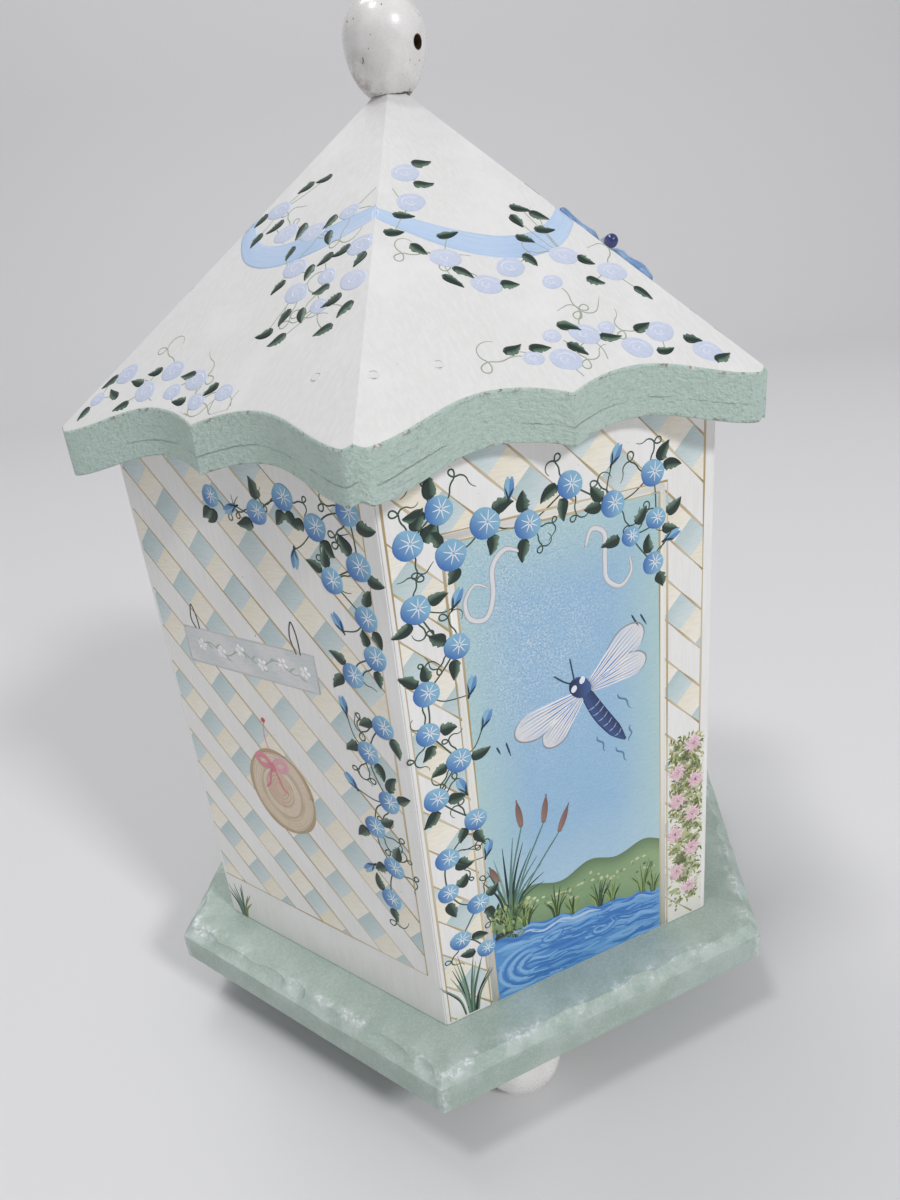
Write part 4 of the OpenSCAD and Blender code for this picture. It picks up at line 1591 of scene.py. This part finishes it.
def filled_nails(p):
    """Uneven dabs of filler over the three brads near the eave."""
    from_axis = 84
    t = (EAVE / MM - from_axis) / math.cos(SLOPE)
    for s in (-45, -29, 35):
        p.blob(ellipse(s, t, 1.5, 1.3, 0.4, 16, 0.08, p.rng), "#e2e1df", 0.14)
        for start, r in ((0.4, 1.3), (3.6, 1.1)):
            line = [polar(s, t, r, start + a) for a in (0, 0.4, 0.8, 1.2, 1.7)]
            p.bead(line, taper(0.3, 0.2, 0.2), "#a9a39c", 0.02, 0.13)


def paint_roof(number, side):
    """Two layouts take turns, and a ribbon's ends are as high on the ridges as its neighbours' ends."""
    swag, cluster, sag = (SWAG_A, CLUSTER_A, SAG_A) if number % 2 else (SWAG_B, CLUSTER_B, SAG_B)
    if side in ("right", "back_left"):
        sag = [(-31, 70)] + sag[1:]
    if side == "left":
        sag = sag[:-1] + [(26, 79)]
    p = Paint(ROOFS[side], 61 + number, to_ridge)
    filled_nails(p)
    ribbon(p, sag)
    spray(p, *swag)
    spray(p, *cluster)
    p.piece("roof_painting_" + side)


# ---------------------------------------------------------------- dragonfly on the right board
def rounded_end(u, start):
    """1 up to start, then down to 0 along a quarter circle."""
    return math.sqrt(max(0.0, 1 - (max(0, u - start) / (1 - start)) ** 2))


def wing(p, s, t, heading, length, crest, lobes):
    """One carved wing: thin under the body, then a veined crest whose outline runs in soft lobes."""
    light, mid, deep = "#a3bcd8", "#6a90c0", "#3c5d90"

    def width(u):
        return (2.4 + 4.9 * min(1, u * 2.2)) * (1 + 0.08 * math.sin(lobes * u)) * rounded_end(u, 0.72) + 0.1

    def groove(u, v):
        """1 in a vein's groove: veins fan out from the root, and cross bars join them."""
        fan = max(0.0, math.cos(3.2 * math.pi * v)) ** 6
        bars = max(0.0, math.cos(24 * u + 3 * v * v)) ** 10
        return max(fan, 0.7 * bars) * min(1, 5 * u)

    def rise(u, v):
        out = min(1, max(0, u - 0.1) / 0.22)
        body = 1.1 + (crest - 1.1) * out * out * (3 - 2 * out) - 0.2 * crest * max(0, u - 0.5)
        body = body * (0.6 + 0.4 * rounded_end(u, 0.9)) + 0.12 * crest * out * math.sin(lobes * u)
        return (body * (1 - 0.5 * v * v) - 0.18 * groove(u, v)) / Paint.RELIEF

    def tint(u, v):
        tone = blend(light, mid, 0.35 + 0.3 * math.sin(lobes * u + 1.0) + 0.3 * abs(v))
        tone = blend(tone, deep, 0.55 * groove(u, v))
        return blend(tone, deep, (abs(v) > 0.9) * 0.6 + max(0.0, u - 0.86) * 2.5)

    p.bead(ray(s, t, heading, [length * u for u in steps(40)]), width, tint, rise)


def dragonfly_wings():
    """Two sculpted pairs in place of the flat wing plates."""
    panel = ROOFS["right"]
    low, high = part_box("dragonfly_body")
    axis = ((low + high) / 2 - panel.origin).dot(panel.up) / MM
    for name, off, length, sweep in (("front", -4, 17.9, -8), ("rear", 4, 15.9, 12)):
        p = Paint(panel, 91 + off)
        p.SINK = 0.02
        p.SECTION = tuple(k / 10 for k in range(-10, 11))
        heading = math.pi / 2 - math.radians(sweep)
        wing(p, off, axis, heading, length, 2.3, 8.0)
        wing(p, off, axis, -heading, length, 3.3, 11.0)
        p.piece("dragonfly_wing_pair_" + name, replaces=["dragonfly_wings_" + name])


# ---------------------------------------------------------------- base with its worked edge
BEVEL_IN, BEVEL_DOWN = 2.4, 2.0
CORNER_IN, CORNER_FADE = 2.2, 4.0
BASE_CORNER_R = BASE_FLAT / COS30


def chisel_cuts(rng):
    """Overlapping cuts along one side of the base: (middle, width, how far in, how far down) in mm."""
    cuts = []
    place = -2.0
    past_end = BASE_CORNER_R / MM + 4.5
    while place < past_end:
        width = rng.uniform(8, 24)
        cuts.append((place + width / 2, width, rng.uniform(0.7, 3.2), rng.uniform(0.4, 2.3)))
        place += width * rng.uniform(0.8, 1.3)
    return cuts


def scoop(cuts, at):
    """(how far in, how far down) the chisel has gone at this point of the side, in millimetres."""
    inward, down = BEVEL_IN, BEVEL_DOWN
    for middle, width, deep, tall in cuts:
        u = (at - middle) / (width / 2)
        if abs(u) < 1:
            inward = max(inward, BEVEL_IN + deep * (1 - u * u) ** 0.65)
            down = max(down, BEVEL_DOWN + tall * (1 - u * u) ** 0.65)
    return inward, down


def bevel_column(p, inward, down, rows=10):
    """Points from under the base up its side and over the cut edge, at the place p on its outline."""
    column = []
    for j in range(rows + 1):
        u = j / rows
        sag = 0.45 * math.sin(math.pi * u) * (inward - 2.0) / 3
        high = BASE_TOP - (down * (1 - u) + sag) * MM
        grain = abs(noise.noise(Vector((p.x, p.y, high)) * 330)) * 0.25 * math.sin(math.pi * min(1, 1.5 * u))
        ease = inward * u + sag + grain - 0.4
        column.append((p * (1 - ease * MM / p.length)).to_3d() + Vector((0, 0, high)))
    column[-1].z = BASE_TOP + 0.5 * MM
    wide = p * (1 + 0.4 * MM / p.length)
    return [Vector((wide.x, wide.y, BASE_BOTTOM - 0.5 * MM))] + column


def worked_solid():
    """A solid a little larger than the base, with the hand-worked edge."""
    rng = random.Random(5)
    per_side = 84
    corners = [Vector(polar(0, 0, BASE_CORNER_R, math.radians(30 + 60 * k))) for k in range(6)]
    cuts = [chisel_cuts(rng) for _ in corners]
    columns = []
    for k, start in enumerate(corners):
        end = corners[(k + 1) % 6]
        side = (end - start).length / MM
        for i in range(per_side):
            f = i / per_side
            inward, down = scoop(cuts[k], f * side)
            near = min(1, min(f, 1 - f) * side / CORNER_FADE)
            inward = CORNER_IN + (inward - CORNER_IN) * near
            down = BEVEL_DOWN + (down - BEVEL_DOWN) * near
            columns.append(bevel_column(start.lerp(end, f), inward, down))
    bm = bmesh.new()
    grid = [[bm.verts.new(v) for v in column] for column in columns]
    for a, b in zip(grid, grid[1:] + grid[:1]):
        for j in range(len(a) - 1):
            bm.faces.new((a[j], b[j], b[j + 1], a[j + 1]))
    bm.faces.new([column[0] for column in reversed(grid)])
    bm.faces.new([column[-1] for column in grid])
    bmesh.ops.recalc_face_normals(bm, faces=bm.faces)
    return in_scene("worked", mesh_of(bm, "worked"))


def base_board():
    """The CAD's base plate, cut down to the hexagon with the hand-chiselled bevel."""
    worked = worked_solid()
    mesh = frame["nodes"]["base_plate"].data.copy()
    mesh.name = "base_board"
    mesh.materials.clear()
    mesh.attributes.remove(mesh.attributes["custom_normal"])
    piece = new_piece("base_board", mesh, BASE_SAGE, slot="sage_paint", replaces=["base_plate"])
    weld = piece.modifiers.new("weld", "WELD")
    weld.merge_threshold = 0.01 * MM
    combine(piece, "INTERSECT", worked)
    mesh = applied(piece)
    bpy.data.objects.remove(worked)
    for polygon in mesh.polygons:
        polygon.use_smooth = 0.03 < abs(polygon.normal.z) < 0.995
    mesh.set_sharp_from_angle(angle=math.radians(30))


def base_paint():
    """Sage over the base, with pearly white dragged over the rim of the bevel."""
    n = Nodes("base_paint")
    where = n.coordinates()
    x, y, z = n.parts(where)
    reach = n.math("ABSOLUTE", x)
    for sign in (-0.5, 0.5):
        lean = n.plus(n.times(x, sign), n.times(y, COS30))
        reach = n.math("MAXIMUM", reach, n.math("ABSOLUTE", lean))
    inset = n.times(n.minus(BASE_FLAT, reach), 1 / MM)
    depth = n.times(n.minus(BASE_TOP, z), 1 / MM)
    cloud = n.noise(where, 60, 3)
    brush = n.noise(where, 900, 4, 0.7)
    dry = n.noise(where, 520, 4, 0.75)
    patchy = n.noise(where, 110, 3, 0.6)
    wavy = n.plus(inset, n.times(n.minus(n.noise(where, 85, 2), 0.5), 5.0))
    band = n.times(n.remap(wavy, 6.5, 3.8), n.remap(wavy, 1.4, 3.0))
    rim = n.times(band, n.remap(depth, 3.4, 1.4))
    veil = n.times(n.remap(inset, 14.0, 3.0, 0, 0.45), n.remap(depth, 9.0, 1.0, 0.25, 1))
    pearl = n.times(n.times(rim, n.remap(patchy, 0.49, 0.6)), n.remap(dry, 0.44, 0.6))
    colour = n.mix(n.remap(cloud, 0.35, 0.65), "#a3b3aa", "#afbdb6")
    colour = n.mix(n.remap(brush, 0.6, 0.4, 0, 0.4), colour, "#93a69c")
    dust = n.remap(n.noise(where, 1500, 3, 0.7), 0.5, 0.66, 0, 0.5)
    colour = n.mix(dust, colour, "#bfcbc6")
    colour = n.mix(n.times(veil, n.remap(patchy, 0.4, 0.6)), colour, "#c9d3cf")
    colour = n.mix(n.times(pearl, 0.8), colour, "#ebeff1")
    # Paler patchy paint down each vertical corner of the base: partly dry-brushed pale paint, partly a
    # painted highlight of a rounded corner.
    from_axis = n.math("SQRT", n.plus(n.times(x, x), n.times(y, y)))
    at_corner = n.remap(from_axis, BASE_CORNER_R - 1.4 * MM, BASE_CORNER_R - 0.3 * MM)
    arris = n.times(at_corner, n.remap(dry, 0.4, 0.55))
    colour = n.mix(n.times(arris, 0.55), colour, "#dde4e2")
    height = n.plus(n.times(brush, 0.7), n.times(pearl, 0.8))
    return n.finished(colour, n.remap(dry, 0.3, 0.7, 0.66, 0.5), height, 0.5, 0.2)


BASE_SAGE = base_paint()


# ---------------------------------------------------------------- finishes of the CAD's own parts
def finial_patches_and_shade(n, where, colour):
    """Brownish patches low on the egg towards -X, painted shade inside its hanging hole and a ragged painted
    shadow round its foot, where it meets the roof.
    """
    x, y, z = n.parts(where)
    hole = mount("hanging_hole")
    axis = hole["axis"]
    up = n.times(n.minus(z, TIP_TOP), 1 / MM)
    # Brownish patches, heaviest low on the egg and towards -X.
    low = n.times(n.remap(up, 13.0, 3.0), n.remap(x, 2 * MM, -8 * MM, 0.1, 1))
    low_brown_patches = n.times(low, n.remap(n.noise(where, 150, 4, 0.65), 0.4, 0.58, 0.1, 0.8))
    colour = n.mix(low_brown_patches, colour, "#a0948c")
    beside = n.minus(n.times(x, -axis[1]), n.times(y, -axis[0]))
    above = n.minus(z, hole["pos_m"][2])
    square = n.plus(n.times(beside, beside), n.times(above, above))
    off = n.times(n.math("SQRT", square), 1 / MM)
    # Painted shade: everything within about 2 mm of the hanging hole's axis, the hole's inside, is coloured
    # dark brown.
    colour = n.mix(n.remap(off, 2.1, 1.85), colour, "#4d3d30")
    # Painted shadow: a ragged dark band round the egg's foot, for the gap between it and the roof tip.
    ragged = n.plus(n.times(n.noise(where, 110, 4, 0.6), -4.0), 1.9)
    return n.mix(n.remap(n.plus(up, ragged), 0.15, -0.15), colour, "#332d28")


def gloss(name, tone, deep, coat, pits=0.0, scale=120, marks=None):
    """Glossy enamel: slow changes of tone, pinholes and a coat."""
    n = Nodes(name)
    where = n.coordinates()
    cloud = n.noise(where, scale, 3)
    grain = n.noise(where, scale * 9, 3)
    hole = n.remap(n.noise(where, scale * 7, 0), 0.80, 0.82)
    colour = n.mix(n.remap(cloud, 0.35, 0.7), tone, deep)
    colour = n.mix(n.times(hole, pits), colour, "#6b645c")
    # marks adds further colour; for the finial these are its brownish patches, painted shade in the hole and
    # a painted shadow at its foot.
    if marks:
        colour = marks(n, where, colour)
    n.bsdf.inputs["Coat Weight"].default_value = coat
    n.bsdf.inputs["Coat Roughness"].default_value = 0.12
    height = n.minus(n.times(cloud, 1.2), n.times(hole, pits))
    return n.finished(colour, n.remap(grain, 0.3, 0.7, 0.22, 0.34), height, 0.35, 0.25)


def zinc():
    """Bright plated screws and brads."""
    n = Nodes("zinc_plate")
    flake = n.noise(n.coordinates(), 900, 3, 0.7)
    n.bsdf.inputs["Metallic"].default_value = 1.0
    n.put(n.bsdf, "Base Color", n.mix(flake, "#c9c9c6", "#8f9398"))
    n.put(n.bsdf, "Roughness", n.remap(flake, 0.3, 0.7, 0.28, 0.45))
    return n.material


def raw_wood():
    """Unpainted dowels and the roof's glue block."""
    n = Nodes("raw_wood")
    rings = n.noise(n.scaled(n.coordinates(), (1, 1, 0.12)), 420, 4, 0.6, 0.6)
    colour = n.mix(n.remap(rings, 0.35, 0.7), "#d9bb8c", "#b58f5c")
    return n.finished(colour, n.remap(rings, 0.3, 0.7, 0.62, 0.75), rings, 0.4, 0.15)


def coat(material, *names):
    """Gives carried-over CAD nodes a finish."""
    for name in names:
        for slot in frame["nodes"][name].material_slots:
            slot.material = material


ENAMEL = ("#eceae8", "#dedbd8", 0.6)
coat(gloss("egg_gloss", *ENAMEL, 0.9, 120, finial_patches_and_shade), "finial")
coat(gloss("white_gloss", *ENAMEL, 0.15), "foot_front", "foot_right", "foot_back", "foot_left")
coat(zinc(), "wall_screws", "cover_pivot_screw", "cover_keeper_screw", "roof_brads")
coat(raw_wood(), "foot_dowels", "finial_dowel", "roof_hub")
coat(carried_paint("cover_sage", "#a3bbab", "#93ac9c"), "cleanout_cover")
coat(gloss("navy_gloss", "#232c66", "#333f80", 0.6, 0.0, 300), "dragonfly_body", "dragonfly_head")

for side in SIDES:
    wall_board(side)
    roof_board(side)
base_board()
dragonfly_wings()
paint_front_left()
paint_front_right()
for number, side in enumerate(("right", "back_right", "back_left", "left")):
    paint_plain(side, 31 + 2 * number)
for number, side in enumerate(SIDES):
    paint_roof(number, side)
